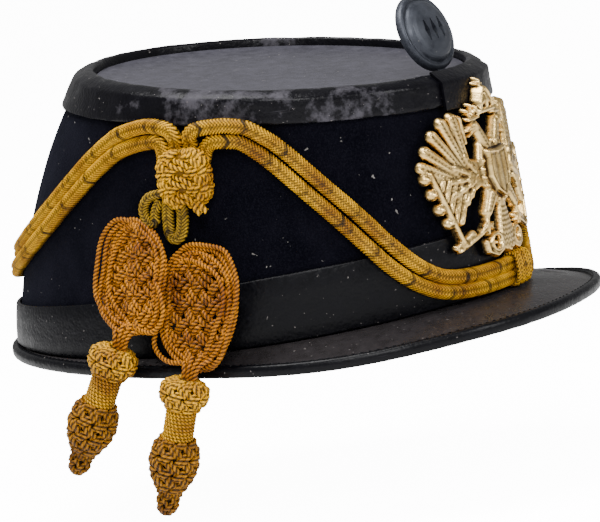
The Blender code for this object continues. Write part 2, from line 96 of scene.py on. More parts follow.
# How uneven each piece is: rows of amount, size of the bumps and seed
UNEVEN = {
    "crown_felt": ((0.35, 55.0, 4), (0.12, 14.0, 5)),
    "crown_band": ((0.16, 11.0, 8), (0.10, 4.5, 9)),
    "base_band": ((0.07, 16.0, 21), (0.04, 5.0, 22)),
    "top": ((0.25, 60.0, 12),),
    "brim": ((0.18, 26.0, 31),),
    "edging": ((0.06, 7.0, 41),),
    "tab": ((0.12, 9.0, 51),),
}

# Reach and lowest height of the brim's edge, a value for each step round from the front
BRIM_ROW_STEP = 30
BRIM_REACH = (28.0, 31.0, 25.5, 13.5, 7.2, 4.6, 3.4)
BRIM_BOTTOM = (-9.5, -9.9, -12.2, -10.0, -7.5, -5.7, -4.8)
BRIM_THICK = 2.2
# How far the brim's leather runs into its rolled edging
BRIM_TUCK = 1.2
EDGING_WIDTH = 3.4
EDGING_HEIGHT = 4.6

# Flat braided cord
CORD_HALF_WIDTH = 2.7
CORD_HALF_DEPTH = 2.1
PAIR_HALF_SPACING = 2.95
CORD_CLEARANCE = 0.45
MM_PER_DEGREE = 1.38
BRAID_STEP = 0.21
BRAID_SIDES = 26
STITCH_PITCH = 1.25
STITCH_SLANT = 0.95
STITCH_RELIEF = 0.60
GROOVE_RELIEF = 0.30
FLECK_SPACING = 17.0
# Cord routes: rows of angle and rise, from the side knot on
RIGHT_FRONT_ROUTE = (
    (-83.2, 0.834), (-78.9, 0.836), (-74.3, 0.820), (-66.4, 0.728), (-57.2, 0.578), (-47.8, 0.409),
    (-40.6, 0.260), (-34.2, 0.158), (-27.6, 0.100), (-18.0, 0.078), (-4.6, 0.075),
)
LEFT_FRONT_ROUTE = (
    (83.2, 0.834), (78.9, 0.832), (70.0, 0.785), (58.0, 0.700), (46.0, 0.610), (36.0, 0.500),
    (30.0, 0.380), (26.5, 0.270), (23.5, 0.170), (18.5, 0.098), (11.0, 0.075), (4.6, 0.075),
)
REAR_ROUTE = (
    (-100.6, 0.831), (-106.2, 0.811), (-111.8, 0.772), (-118.1, 0.692), (-124.7, 0.593),
    (-132.6, 0.488), (-141.5, 0.399), (-150.6, 0.331), (-164.0, 0.275), (-180.0, 0.258),
)
FRONT_UPPER_ENTRY = ((-88.9, 0.790), (-89.3, 0.822), (-88.0, 0.852))
FRONT_LOWER_ENTRY = ()
REAR_UPPER_ENTRY = ((-92.9, 0.790), (-93.4, 0.822), (-95.6, 0.852))
REAR_LOWER_ENTRY = ((-97.9, 0.797),)


def wall(angle, rise, out=0.0):
    """Points on the crown's wall in millimetres, for numbers or arrays."""
    turn = np.radians(angle)
    rise = np.asarray(rise, float)
    share = np.maximum(rise, 0.0) ** WALL_CURVE
    between = lambda key: SEAM_OUTLINE[key] + (TOP_OUTLINE[key] - SEAM_OUTLINE[key]) * share
    x = (between("half_width") + out) * np.sin(turn)
    y = between("middle") - (between("half_length") + out) * np.cos(turn)
    sag = SIDE_SAG * np.sin(turn) ** 2 * np.maximum(0.0, 1 - 2 * rise)
    z = rise * (CROWN_HEIGHT + TOP_SLOPE * (y - TOP_OUTLINE["middle"])) - sag
    return np.stack(np.broadcast_arrays(x, y, z), -1)


def rise_at(angle, height):
    """The rise at which the wall has this height, found by halving."""
    low = np.zeros_like(np.asarray(angle, float) + height)
    high = low + 1.0
    for _ in range(20):
        middle = (low + high) / 2
        below = wall(angle, middle)[..., 2] < height
        low = np.where(below, middle, low)
        high = np.where(below, high, middle)
    return low


def base_band_top(angle):
    return BASE_BAND_HEIGHT["middle"] + BASE_BAND_HEIGHT["front_extra"] * np.cos(np.radians(angle))


def smooth(value, low, high):
    share = np.clip((value - low) / (high - low), 0.0, 1.0)
    return share * share * (3 - 2 * share)


def wavy(points, size, seed):
    """Smooth repeatable unevenness from -1 to 1 at points, with bumps of about this size."""
    chance = np.random.default_rng(seed)
    total = np.zeros(points.shape[:-1])
    for _ in range(7):
        direction = chance.normal(size=3)
        direction *= chance.uniform(0.6, 1.5) / np.linalg.norm(direction)
        total += np.sin(points @ direction * 2 * pi / size + chance.uniform(0, 2 * pi))
    return total / 4


def unevenness(points, piece):
    return sum(amount * wavy(points, size, seed) for amount, size, seed in UNEVEN[piece])


def bulged(value, power):
    """A sine or cosine bent towards a square's; a power of 1 leaves it round."""
    return np.sign(value) * np.abs(value) ** power


# ---------------------------------------------------------------- meshes

def placed(name, data):
    """A new object with this data, in the scene."""
    item = bpy.data.objects.new(name, data)
    bpy.context.scene.collection.objects.link(item)
    return item


class Shape:
    """Points, faces and their tone, gathered from many surfaces into one mesh."""

    def __init__(self, points=None, faces=None, tones=None):
        self.points = [] if points is None else [points]
        self.faces = faces or []
        self.tones = [] if tones is None else [tones]
        self.count = 0 if points is None else len(points)

    def add_grid(self, grid, tone=1.0, close_rows=False, caps=False):
        """A tube from rows of points round it; close_rows joins its last row to its first."""
        rows, columns = grid.shape[:2]
        index = np.arange(rows * columns).reshape(rows, columns) + self.count
        if caps:
            end_faces = [index[0, ::-1].tolist(), index[-1].tolist()]
        if close_rows:
            index = np.vstack([index, index[:1]])
        index = np.hstack([index, index[:, :1]])
        quads = np.stack([index[:-1, :-1], index[:-1, 1:], index[1:, 1:], index[1:, :-1]], -1)
        self.faces += quads.reshape(-1, 4).tolist()
        if caps:
            self.faces += end_faces
        self.points.append(grid.reshape(-1, 3))
        self.tones.append(np.broadcast_to(tone, (rows, columns)).ravel())
        self.count += rows * columns

    def piece(self, name, material, slot_name, *replaced, sharp=50):
        """The finished piece, riding on the hat in place of its plain solids."""
        mesh = bpy.data.meshes.new(name)
        points = np.concatenate(self.points) * MM
        mesh.from_pydata(points.tolist(), [], self.faces)
        tone = mesh.color_attributes.new("tone", "FLOAT_COLOR", "POINT")
        shade = np.concatenate(self.tones)
        tone.data.foreach_set("color", np.stack([shade, shade, shade, np.ones_like(shade)], -1).ravel())
        mesh.materials.append(material)
        mesh.validate()
        for polygon in mesh.polygons:
            polygon.use_smooth = True
        mesh.set_sharp_from_angle(angle=radians(sharp))
        item = placed(name, mesh)
        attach(item, "root")
        if replaced:
            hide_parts(*replaced)


def unit(vectors):
    return vectors / np.maximum(np.linalg.norm(vectors, axis=-1, keepdims=True), 1e-9)


def marks_along(path):
    """How far along a path each of its points lies."""
    return np.concatenate([[0], np.cumsum(np.linalg.norm(np.diff(path, axis=0), axis=1))])


def read_at(distance, marks, values):
    """Points or directions between a path's own, at distances along it."""
    return np.stack([np.interp(distance, marks, values[:, axis]) for axis in range(3)], -1)


def resampled(path, step, closed=False):
    """The path at even steps, how far along it each point lies, and its whole length."""
    path = np.asarray(path, float)
    if closed:
        path = np.vstack([path, path[:1]])
    marks = marks_along(path)
    count = max(3, int(marks[-1] / step))
    distance = np.linspace(0, marks[-1], count + 1)
    if closed:
        distance = distance[:-1]
    return read_at(distance, marks, path), distance, marks[-1]


def spline(before, start, end, after, share):
    """A smooth step from start to end that suits the values on both sides of them."""
    bend = 2 * before - 5 * start + 4 * end - after + share * (3 * (start - end) + after - before)
    return start + 0.5 * share * (end - before + share * bend)


def curve_through(points, steps):
    """A smooth curve through given points, with this many steps between two of them."""
    points = np.asarray(points, float)
    padded = np.vstack([points[:1], points, points[-1:]])
    share = np.linspace(0, 1, steps, endpoint=False)[:, None]
    rows = [spline(*padded[span:span + 4], share) for span in range(len(points) - 1)]
    return np.vstack([*rows, points[-1:]])


def tangents(path, closed):
    if closed:
        return unit(np.roll(path, -1, 0) - np.roll(path, 1, 0))
    return unit(np.gradient(path, axis=0))


def carried_normals(path, along, closed):
    """A normal for each point of a path that turns as little as it can."""
    normal = np.cross(along[0], (0.0, 0.0, 1.0))
    if np.linalg.norm(normal) < 0.2:
        normal = np.cross(along[0], (0.0, 1.0, 0.0))
    normals = []
    for direction in along:
        normal = normal - direction * (normal @ direction)
        normal /= max(np.linalg.norm(normal), 1e-9)
        normals.append(normal)
    normals = np.array(normals)
    if closed:
        first = normals[0] - along[-1] * (normals[0] @ along[-1])
        bend = np.arctan2(np.cross(normals[-1], first) @ along[-1], normals[-1] @ first)
        turn = np.linspace(0, bend, len(path))[:, None]
        normals = normals * np.cos(turn) + np.cross(along, normals) * np.sin(turn)
    return normals


def add_twist(shape, path, radius, pitch=3.6, step=0.5, sides=10, closed=False, tone=1.0):
    """A twisted cord of two plies along a path, with painted shade in the grooves between the plies."""
    path, distance, _ = resampled(path, step, closed)
    along = tangents(path, closed)
    normal = carried_normals(path, along, closed)
    side = np.cross(along, normal)
    turn = 2 * pi * np.arange(sides) / sides
    lay = np.cos(2 * turn[None] - 2 * pi * distance[:, None] / pitch * 2)
    reach = radius * (0.86 + 0.14 * lay)
    grid = path[:, None] + reach[..., None] * (
        normal[:, None] * np.cos(turn)[None, :, None] + side[:, None] * np.sin(turn)[None, :, None])
    # The tone darkens the grooves between the two plies: painted shade.
    shape.add_grid(grid, tone * (0.07 + 0.93 * smooth(lay, -0.70, 0.95)), close_rows=closed, caps=not closed)


def add_braid(shape, path, outward, half_width, half_depth, closed=False, flecks=True, seed=0):
    """A flat herringbone braid; outward is the direction of its broad face at each point."""
    path = np.asarray(path, float)
    outward = np.asarray(outward, float)
    fine, distance, _ = resampled(path, BRAID_STEP, closed)
    if closed:
        path = np.vstack([path, path[:1]])
        outward = np.vstack([outward, outward[:1]])
    outward = read_at(distance, marks_along(path), outward)
    along = tangents(fine, closed)
    across = unit(np.cross(along, outward))
    outward = unit(np.cross(across, along))
    turn = 2 * pi * (np.arange(BRAID_SIDES) + 0.5) / BRAID_SIDES
    lateral = np.cos(turn)
    slant = STITCH_SLANT * np.abs(lateral)[None] * half_width / STITCH_PITCH
    phase = distance[:, None] / STITCH_PITCH + slant
    stitch = (0.5 + 0.5 * np.cos(2 * pi * phase)) ** 0.7
    column = np.clip(1 - (2 * np.abs(lateral) - 0.95) ** 2, 0, 1) ** 0.5
    groove = 1 - 0.9 * np.exp(-(lateral / 0.10) ** 2)
    raised = STITCH_RELIEF * (stitch - 0.6) * (0.35 + 0.65 * column)[None]
    relief = raised + GROOVE_RELIEF * (groove - 1)[None]
    width = half_width + relief
    depth = half_depth * (0.82 + 0.18 * column[None]) + relief
    grid = (fine[:, None] + across[:, None] * (width * bulged(np.cos(turn), 0.75)[None])[..., None]
            + outward[:, None] * (depth * bulged(np.sin(turn), 0.75)[None])[..., None])
    # Painted shade in the tone: dark between the stitches, in the middle groove and on the inner face towards
    # the felt.
    outer = smooth(np.sin(turn), -0.25, 0.35)[None]
    tone = (0.05 + 0.95 * smooth(stitch, 0.28, 0.98)) * (0.35 + 0.65 * groove[None]) * (0.40 + 0.60 * outer)
    if flecks:
        chance = np.random.default_rng(seed)
        place = (distance[:, None] + 2.2 * np.abs(lateral)[None] + 6 * chance.random()) % FLECK_SPACING
        dark = np.exp(-((place - 4) / 0.85) ** 2) + 0.7 * np.exp(-((place - 8.2) / 0.5) ** 2)
        uneven = 0.5 + 0.5 * wavy(grid, 9.0, seed + 3)
        tone = tone * (1 - 0.93 * np.clip(dark * (0.35 + 0.95 * uneven), 0, 1))
    shape.add_grid(grid, tone, close_rows=closed, caps=not closed)


# ---------------------------------------------------------------- materials

class Finish:
    """A node material under construction, with short calls for the nodes used here."""

    def __init__(self, name, roughness, metallic=0.0, **constants):
        self.material = bpy.data.materials.new(name)
        self.material.use_nodes = True
        self.tree = self.material.node_tree
        self.shader = self.tree.nodes["Principled BSDF"]
        self.shader.inputs["Roughness"].default_value = roughness
        self.shader.inputs["Metallic"].default_value = metallic
        for socket, value in constants.items():
            self.shader.inputs[socket.replace("_", " ")].default_value = value
        self.place = self.node("ShaderNodeTexCoord").outputs["Object"]

    def node(self, kind, **settings):
        made = self.tree.nodes.new(kind)
        for key, value in settings.items():
            setattr(made, key, value)
        return made

    def link(self, source, target):
        self.tree.links.new(source, target)

    def stretched(self, scale):
        mapping = self.node("ShaderNodeMapping")
        mapping.inputs["Scale"].default_value = scale
        self.link(self.place, mapping.inputs["Vector"])
        return mapping.outputs["Vector"]

    def noise(self, scale, detail=4.0, roughness=0.55, place=None):
        made = self.node("ShaderNodeTexNoise")
        made.inputs["Scale"].default_value = scale
        made.inputs["Detail"].default_value = detail
        made.inputs["Roughness"].default_value = roughness
        self.link(place or self.place, made.inputs["Vector"])
        return made.outputs["Fac"]

    def cells(self, scale):
        made = self.node("ShaderNodeTexVoronoi", feature="SMOOTH_F1")
        made.inputs["Scale"].default_value = scale
        self.link(self.place, made.inputs["Vector"])
        return made.outputs["Distance"]

    def range(self, value, low, high, to_low=0.0, to_high=1.0):
        made = self.node("ShaderNodeMapRange", clamp=True)
        for socket, number in zip(("From Min", "From Max", "To Min", "To Max"), (low, high, to_low, to_high)):
            made.inputs[socket].default_value = number
        self.link(value, made.inputs["Value"])
        return made.outputs["Result"]

    def maths(self, operation, first, second):
        made = self.node("ShaderNodeMath", operation=operation)
        for socket, value in zip(made.inputs, (first, second)):
            if isinstance(value, (int, float)):
                socket.default_value = value
            else:
                self.link(value, socket)
        return made.outputs["Value"]

    def blend(self, share, first, second, mode="MIX"):
        made = self.node("ShaderNodeMix", data_type="RGBA", blend_type=mode)
        for socket, value in ((made.inputs[0], share), (made.inputs[6], first), (made.inputs[7], second)):
            if isinstance(value, (int, float)):
                socket.default_value = value
            elif isinstance(value, tuple):
                socket.default_value = (*value, 1.0)
            else:
                self.link(value, socket)
        return made.outputs[2]

    def tone(self):
        """The tone that each mesh point carries: painted shade on the cords, the hollows' patina on the
        brass.
        """
        return self.node("ShaderNodeVertexColor", layer_name="tone").outputs["Color"]

    def color(self, value):
        self.link(value, self.shader.inputs["Base Color"])

    def roughness(self, value):
        self.link(value, self.shader.inputs["Roughness"])

    def bump(self, height, strength, distance, below=None):
        made = self.node("ShaderNodeBump")
        made.inputs["Strength"].default_value = strength
        made.inputs["Distance"].default_value = distance
        self.link(height, made.inputs["Height"])
        if below is not None:
            self.link(below, made.inputs["Normal"])
        self.link(made.outputs["Normal"], self.shader.inputs["Normal"])
        return made.outputs["Normal"]


def felt_finish():
    finish = Finish("black_felt", 0.95, Sheen_Weight=0.02, Sheen_Roughness=0.5, Specular_IOR_Level=0.02)
    finish.shader.inputs["Sheen Tint"].default_value = (0.45, 0.50, 0.75, 1.0)
    mottle = finish.range(finish.noise(38, 6, 0.65), 0.35, 0.7)
    ground = finish.blend(mottle, (0.0010, 0.0010, 0.0024), (0.0036, 0.0034, 0.0062))
    fibre = finish.range(finish.noise(1400, 3, 0.7), 0.45, 0.75)
    ground = finish.blend(finish.maths("MULTIPLY", fibre, 0.35), ground, (0.012, 0.012, 0.018))
    lint = finish.range(finish.noise(420, 2, 0.5), 0.735, 0.76)
    finish.color(finish.blend(finish.maths("MULTIPLY", lint, 0.75), ground, (0.20, 0.19, 0.18)))
    coarse = finish.bump(finish.noise(120, 5, 0.7), 0.25, 0.0012)
    finish.bump(finish.noise(1500, 4, 0.75), 0.55, 0.0005, coarse)
    return finish.material


# Old blacked leathers: wear_start is the level of the wear noise above which they are rubbed
LEATHERS = {
    "black_leather": {"ground": (0.0009, 0.0009, 0.0016), "worn": (0.022, 0.021, 0.026),
                      "roughness": 0.40, "wear_start": 0.80},
    "rubbed_leather": {"ground": (0.0014, 0.0013, 0.0022), "worn": (0.068, 0.064, 0.076),
                       "roughness": 0.36, "wear_start": 0.71},
    "brim_leather": {"ground": (0.0120, 0.0105, 0.0110), "worn": (0.056, 0.050, 0.052),
                     "roughness": 0.33, "wear_start": 0.76},
    # The top's ground and worn colours sit far above the other black leathers': painted sheen, for the light
    # that the black top reflects at a grazing angle.
    "top_leather": {"ground": (0.030, 0.029, 0.036), "worn": (0.088, 0.084, 0.098),
                    "roughness": 0.46, "wear_start": 0.80, "grain": 1.3},
}


def leather_finish(name, ground, worn, roughness, wear_start, grain=1.0):
    """Pebbled grain, creases, scratches and rubbed grey patches."""
    finish = Finish(name, roughness, Coat_Weight=0.03, Coat_Roughness=0.22, Specular_IOR_Level=0.11)
    patch = finish.noise(27, 7, 0.62)
    fine = finish.noise(210, 5, 0.7)
    wear = finish.maths("ADD", patch, finish.maths("MULTIPLY", fine, 0.30))
    rubbed = finish.range(wear, wear_start, wear_start + 0.09)
    flecks = finish.range(finish.noise(620, 2, 0.6), 0.71, 0.74)
    scratch = finish.range(finish.noise(95, 3, 0.5, finish.stretched((0.35, 0.35, 7.0))), 0.70, 0.74)
    color = finish.blend(finish.range(fine, 0.3, 0.7), ground, tuple(value * 1.9 for value in ground))
    color = finish.blend(finish.maths("MULTIPLY", rubbed, 0.75), color, worn)
    color = finish.blend(finish.maths("MULTIPLY", scratch, 0.28), color, worn)
    finish.color(finish.blend(finish.maths("MULTIPLY", flecks, 0.55), color, (0.24, 0.22, 0.21)))
    dull = finish.range(finish.maths("ADD", fine, rubbed), 0.3, 1.5, roughness - 0.10, roughness + 0.28)
    finish.roughness(dull)
    creases = finish.bump(finish.noise(60, 6, 0.6), 0.30, 0.0014)
    pebbles = finish.bump(finish.cells(900 / grain), 0.35, 0.0003, creases)
    finish.bump(fine, 0.35, 0.0005, pebbles)
    return finish.material


SILKS = {
    "gold_silk": {"light": (0.96, 0.485, 0.0014), "deep": (0.44, 0.170, 0.0005)},
    "dull_gold_silk": {"light": (0.50, 0.290, 0.0060), "deep": (0.22, 0.110, 0.0020)},
    "orange_silk": {"light": (0.70, 0.250, 0.0008), "deep": (0.30, 0.080, 0.0002)},
    "brown_gold_silk": {"light": (0.44, 0.180, 0.0006), "deep": (0.19, 0.062, 0.0002)},
}


def cord_finish(name, light, deep):
    """Silk braid: bright on the raised threads, with painted shade between them from the tone, and soiled in
    places.
    """
    finish = Finish(name, 0.50, Sheen_Weight=0.02, Sheen_Roughness=0.4, Specular_IOR_Level=0.16)
    finish.shader.inputs["Sheen Tint"].default_value = (1.0, 0.85, 0.45, 1.0)
    soil = finish.range(finish.noise(70, 5, 0.6), 0.40, 0.66)
    color = finish.blend(soil, light, deep)
    thread = finish.range(finish.noise(1300, 2, 0.6), 0.35, 0.7, 0.62, 1.12)
    gray = finish.node("ShaderNodeCombineColor")
    for socket in gray.inputs:
        finish.link(thread, socket)
    color = finish.blend(1.0, color, gray.outputs["Color"], "MULTIPLY")
    # The tone multiplies in the painted shade of the grooves, the knots' gaps and the braids' inner faces.
    finish.color(finish.blend(1.0, color, finish.tone(), "MULTIPLY"))
    finish.bump(finish.noise(1700, 3, 0.7), 0.45, 0.0004)
    return finish.material


def brass_finish():
    """Gilt casting: bright where rubbed, brown in the hollows."""
    finish = Finish("gilt_brass", 0.28, metallic=1.0)
    uneven = finish.range(finish.noise(160, 5, 0.6), 0.35, 0.7)
    bright = finish.blend(uneven, (0.92, 0.66, 0.27), (0.66, 0.42, 0.13))
    clean = finish.range(finish.tone(), 0.25, 0.85)
    finish.color(finish.blend(clean, (0.045, 0.022, 0.006), bright))
    finish.roughness(finish.range(finish.noise(500, 4, 0.6), 0.3, 0.7, 0.18, 0.40))
    finish.bump(finish.noise(900, 4, 0.6), 0.22, 0.0004)
    return finish.material


def dark_metal_finish():
    finish = Finish("blackened_metal", 0.42, metallic=0.55)
    uneven = finish.range(finish.noise(130, 6, 0.6), 0.35, 0.7)
    color = finish.blend(uneven, (0.020, 0.023, 0.032), (0.050, 0.055, 0.068))
    dust = finish.range(finish.noise(700, 2, 0.5), 0.70, 0.74)
    finish.color(finish.blend(finish.maths("MULTIPLY", dust, 0.4), color, (0.25, 0.24, 0.22)))
    finish.roughness(finish.range(finish.noise(260, 4, 0.6), 0.3, 0.7, 0.34, 0.56))
    finish.bump(finish.noise(800, 4, 0.6), 0.15, 0.0003)
    return finish.material


# ---------------------------------------------------------------- crown, bands and brim

def round_angles():
    return np.arange(ROUND_STEPS) * 360 / ROUND_STEPS


def rounded(corners, radius=0.5, steps=3):
    """A closed outline with its corners eased, for rows of points of any width."""
    corners = np.asarray(corners, float)
    out = []
    count = len(corners)
    for index in range(count):
        before, here, after = corners[index - 1], corners[index], corners[(index + 1) % count]
        back, ahead = before - here, after - here
        far_back = np.linalg.norm(back, axis=-1, keepdims=True)
        far_ahead = np.linalg.norm(ahead, axis=-1, keepdims=True)
        start = here + back / far_back * np.minimum(radius, far_back * 0.45)
        end = here + ahead / far_ahead * np.minimum(radius, far_ahead * 0.45)
        for share in np.linspace(0, 1, steps):
            out.append((1 - share) ** 2 * start + 2 * share * (1 - share) * here + share ** 2 * end)
    return np.array(out)


def section(angle, rows, full=1.0):
    """A section's corners at every angle, from rows of rise, distance out and lift.

    full is the rise that a row's 1 stands for.
    """
    return [wall(angle, rise * full, out) + np.array([0.0, 0.0, lift]) for rise, out, lift in rows]


def roughened(corners, radius, piece):
    """A section with eased corners and an uneven surface, as rows of points round it."""
    grid = rounded(corners, radius).transpose(1, 0, 2)
    middle = grid.mean(axis=1, keepdims=True)
    return grid + unit(grid - middle) * unevenness(grid, piece)[..., None]


def ring_shape(corners, radius, piece):
    """A ring round the hat from its section's corners, each given at every angle."""
    shape = Shape()
    shape.add_grid(roughened(corners, radius, piece), close_rows=True)
    return shape


def build_crown_shell(felt):
    """The felt wall, dented a little outside and plain inside."""
    angle = round_angles()
    rises = np.linspace(0.0, 0.952, 34)
    outside = [wall(angle, rise) for rise in rises]
    inside = [wall(angle, rise, -FELT) for rise in rises[::-2]]
    grid = np.array(outside + inside)
    push = np.zeros(grid.shape[:2])
    push[:len(outside)] = unevenness(grid[:len(outside)], "crown_felt") - 0.35
    flat = grid.copy()
    flat[..., 2] = 0
    centre = flat.mean(axis=1, keepdims=True)
    shape = Shape()
    shape.add_grid(grid + unit(flat - centre) * push[..., None], close_rows=True)
    shape.piece("crown_felt", felt, "felt", "crown_shell")


def build_crown_band(leather):
    shape = ring_shape(section(round_angles(), CROWN_BAND_SECTION), 0.9, "crown_band")
    shape.piece("crown_band_leather", leather, "black_leather", "crown_band", sharp=60)


def build_top_disc(leather):
    """The recessed top, a little sunk in the middle."""
    rim = wall(round_angles(), 1.0, -5.1)
    middle = rim.mean(axis=0)
    rows = []
    for share in np.linspace(0.004, 1, 40):
        row = middle + (rim - middle) * share
        row[:, 2] += -TOP_RECESS + 0.9 * share ** 10 - 0.5 * (1 - share ** 2)
        row[:, 2] += unevenness(row, "top") * (1 - share ** 4)
        rows.append(row)
    under = [row - np.array([0, 0, 2.2]) for row in rows[::-6]]
    shape = Shape()
    shape.add_grid(np.array(rows + under), caps=True)
    shape.piece("top_leather", leather, "black_leather", "top_disc")


def build_base_band(leather):
    angle = round_angles()
    top = rise_at(angle, base_band_top(angle))
    shape = ring_shape(section(angle, BASE_BAND_SECTION, top), 0.6, "base_band")
    shape.piece("base_band_leather", leather, "black_leather", "base_band", sharp=60)


def brim_rows(angle):
    """Reach and bottom of the brim's edge at each angle, eased between the tables' values."""
    turned = np.abs((np.asarray(angle) + 180) % 360 - 180)
    index = np.minimum((turned // BRIM_ROW_STEP).astype(int), len(BRIM_REACH) - 2)
    share = (turned - index * BRIM_ROW_STEP) / BRIM_ROW_STEP
    results = []
    for table in (BRIM_REACH, BRIM_BOTTOM):
        padded = np.array([table[1], *table, table[-2]])
        results.append(spline(*(padded[index + shift] for shift in range(4)), share))
    return results


def brim_point(angle, out, height):
    point = wall(angle, 0.0, out)
    point[..., 2] = height
    return point


def build_brim(leather):
    angle = round_angles()
    reach, bottom = brim_rows(angle)
    edge = reach - EDGING_WIDTH - GAP
    flange = np.minimum(2.2, edge - 0.4)
    seam = wall(angle, 0.0)[:, 2] - GAP
    end = bottom + (EDGING_HEIGHT + BRIM_THICK) / 2
    sink = np.minimum(0.0, end - seam)
    rows = [brim_point(angle, -FELT, seam), brim_point(angle, flange, seam)]
    for share in np.linspace(0.15, 1.0, 9):
        out = flange + (edge - flange) * share
        rows.append(brim_point(angle, out, seam + sink * share ** 1.25))
    rows.append(brim_point(angle, edge + GAP + BRIM_TUCK, seam + sink))
    top = np.array(rows)
    top[2:, :, 2] += unevenness(top[2:], "brim") * smooth(edge - flange, 2, 8)
    under = top[::-1] - np.array([0, 0, BRIM_THICK])
    grid = np.concatenate([top, under]).transpose(1, 0, 2)
    shape = Shape()
    shape.add_grid(grid, close_rows=True)
    shape.piece("brim_leather", leather, "black_leather", "peak", sharp=60)


def build_edging(leather):
    """The rolled leather edge, with a fine stitched line along its inner side."""
    angle = round_angles()
    reach, bottom = brim_rows(angle)
    inner, top = reach - EDGING_WIDTH, bottom + EDGING_HEIGHT
    corners = [brim_point(angle, out, height) for out, height in (
        (inner, bottom + 0.5), (inner + 0.6, bottom), (reach - 0.8, bottom), (reach, bottom + 1.2),
        (reach, top - 1.2), (reach - 0.9, top), (inner + 0.6, top), (inner, top - 0.7))]
    shape = ring_shape(corners, 0.9, "edging")
    add_stitches(shape, brim_point(angle, inner + 0.55, top + 0.02), spacing=3.0, length=1.9, radius=0.24)
    shape.piece("edging_leather", leather, "black_leather", "peak_edging", sharp=60)


def add_stitches(shape, path, spacing, length, radius):
    """Short thread stitches along a closed path."""
    fine, distance, whole = resampled(path, 0.5, closed=True)
    for start in np.arange(0, whole - spacing, spacing):
        chosen = fine[(distance >= start) & (distance <= start + length)]
        if len(chosen) < 3:
            continue
        sunk = chosen.copy()
        sunk[0, 2] -= 0.25
        sunk[-1, 2] -= 0.25
        add_twist(shape, sunk, radius, pitch=2, step=0.6, sides=5)


def build_front_tab(leather):
    """The leather tab over the front of the crown band, bent in over the ridge."""
    angles = np.linspace(-TAB_HALF_ANGLE, TAB_HALF_ANGLE, 60)
    shape = Shape()
    shape.add_grid(roughened(section(angles, TAB_SECTION), 0.8, "tab"), caps=True)
    shape.piece("front_tab_leather", leather, "black_leather", "front_tab", sharp=60)


# ---------------------------------------------------------------- festoon cords

def beside(route, shift):
    """The route moved sideways on the wall, positive towards the top."""
    moved = []
    for index, (angle, rise) in enumerate(route):
        before, after = route[max(index - 1, 0)], route[min(index + 1, len(route) - 1)]
        across = (after[0] - before[0]) * MM_PER_DEGREE
        up = (after[1] - before[1]) * CROWN_HEIGHT
        length = sqrt(across * across + up * up)
        side = 1 if across >= 0 else -1
        moved.append((angle - side * shift * up / length / MM_PER_DEGREE,
                      rise + side * shift * across / length / CROWN_HEIGHT))
    return moved


def mirrored(route, middle=0.0):
    return [(2 * middle - angle, rise) for angle, rise in route]


def cord_lift(angle, rise):
    """How far a cord's middle stands out of the felt, over the leather bands."""
    height = wall(angle, rise)[..., 2]
    over_crown_band = smooth(rise, 0.79, 0.835)
    over_base_band = 1 - smooth(height, base_band_top(angle) + 1.5, base_band_top(angle) + 7)
    return CORD_HALF_DEPTH + CORD_CLEARANCE + BAND_FACE * np.maximum(over_crown_band, over_base_band)


def build_wall_cord(node, route, gold, seed):
    places = curve_through([(angle, rise, 0.0) for angle, rise in route], 14)
    angle, rise = places[:, 0], places[:, 1]
    lift = cord_lift(angle, rise)
    path = wall(angle, rise, lift)
    outward = unit(wall(angle, rise, lift + 1) - path)
    shape = Shape()
    add_braid(shape, path, outward, CORD_HALF_WIDTH, CORD_HALF_DEPTH, seed=seed)
    shape.piece(node.replace("cord", "braid"), gold, "gold_cord", node, sharp=80)


# How each cord runs on into the knot, before its first point on the wall
INTO_KNOT = {
    "front_upper": ((-89.0, 0.700), (-88.9, 0.745)),
    "front_lower": ((-85.0, 0.700), (-85.0, 0.740), (-84.7, 0.778)),
    "rear_upper": ((-92.8, 0.700), (-92.9, 0.745)),
    "rear_lower": ((-95.2, 0.690), (-95.6, 0.735), (-96.6, 0.775)),
}


def build_festoons(gold):
    """The two cords on each side in front, and the two that run right round the rear."""
    seed = 60
    for side, route in (("right", RIGHT_FRONT_ROUTE), ("left", LEFT_FRONT_ROUTE)):
        for level, entry, shift in (("upper", FRONT_UPPER_ENTRY, 1), ("lower", FRONT_LOWER_ENTRY, -1)):
            start = list(INTO_KNOT[f"front_{level}"]) + list(entry)
            start = start if side == "right" else mirrored(start)
            seed += 1
            whole = start + beside(route, shift * PAIR_HALF_SPACING)
            under_keeper = (whole[-1][0] * 0.3, whole[-1][1])
            build_wall_cord(f"cord_{side}_{level}", whole + [under_keeper], gold, seed)
    whole = list(REAR_ROUTE) + mirrored(REAR_ROUTE[:-1], -180)[::-1]
    for level, entry, shift in (("upper", REAR_UPPER_ENTRY, 1), ("lower", REAR_LOWER_ENTRY, -1)):
        seed += 1
        start = list(INTO_KNOT[f"rear_{level}"]) + list(entry)
        route = start + beside(whole, shift * PAIR_HALF_SPACING) + mirrored(start, -180)[::-1]
        build_wall_cord(f"cord_rear_{level}", route, gold, seed)


# The keeper's turns: their angles, and middle and half size of each, out of the wall and upwards
KEEPER_ANGLES = (-2.9, 0.0, 2.9)
KEEPER_OUT = {"middle": 5.3, "half": 2.9}
KEEPER_HEIGHT = {"middle": 6.3, "half": 5.6}


def build_keeper(gold):
    """Three turns of braid round both front cords."""
    shape = Shape()
    turn = np.linspace(0, 2 * pi, 60, endpoint=False)
    out = KEEPER_OUT["middle"] + KEEPER_OUT["half"] * bulged(np.cos(turn), 0.6)
    height = KEEPER_HEIGHT["middle"] + KEEPER_HEIGHT["half"] * bulged(np.sin(turn), 0.7)
    for number, angle in enumerate(KEEPER_ANGLES):
        path = wall(angle + 0.5 * np.sin(turn), rise_at(angle, height), out)
        outward = unit(path - path.mean(axis=0))
        add_braid(shape, path, outward, 1.9, 0.75, closed=True, flecks=number == 1, seed=80 + number)
    shape.piece("keeper_braid", gold, "gold_cord", "front_keeper", sharp=80)


# ---------------------------------------------------------------- knots, flounders and tassels

def square_round(turn, half_deep, half_wide, power):
    return half_deep * bulged(np.cos(turn), power), half_wide * bulged(np.sin(turn), power)


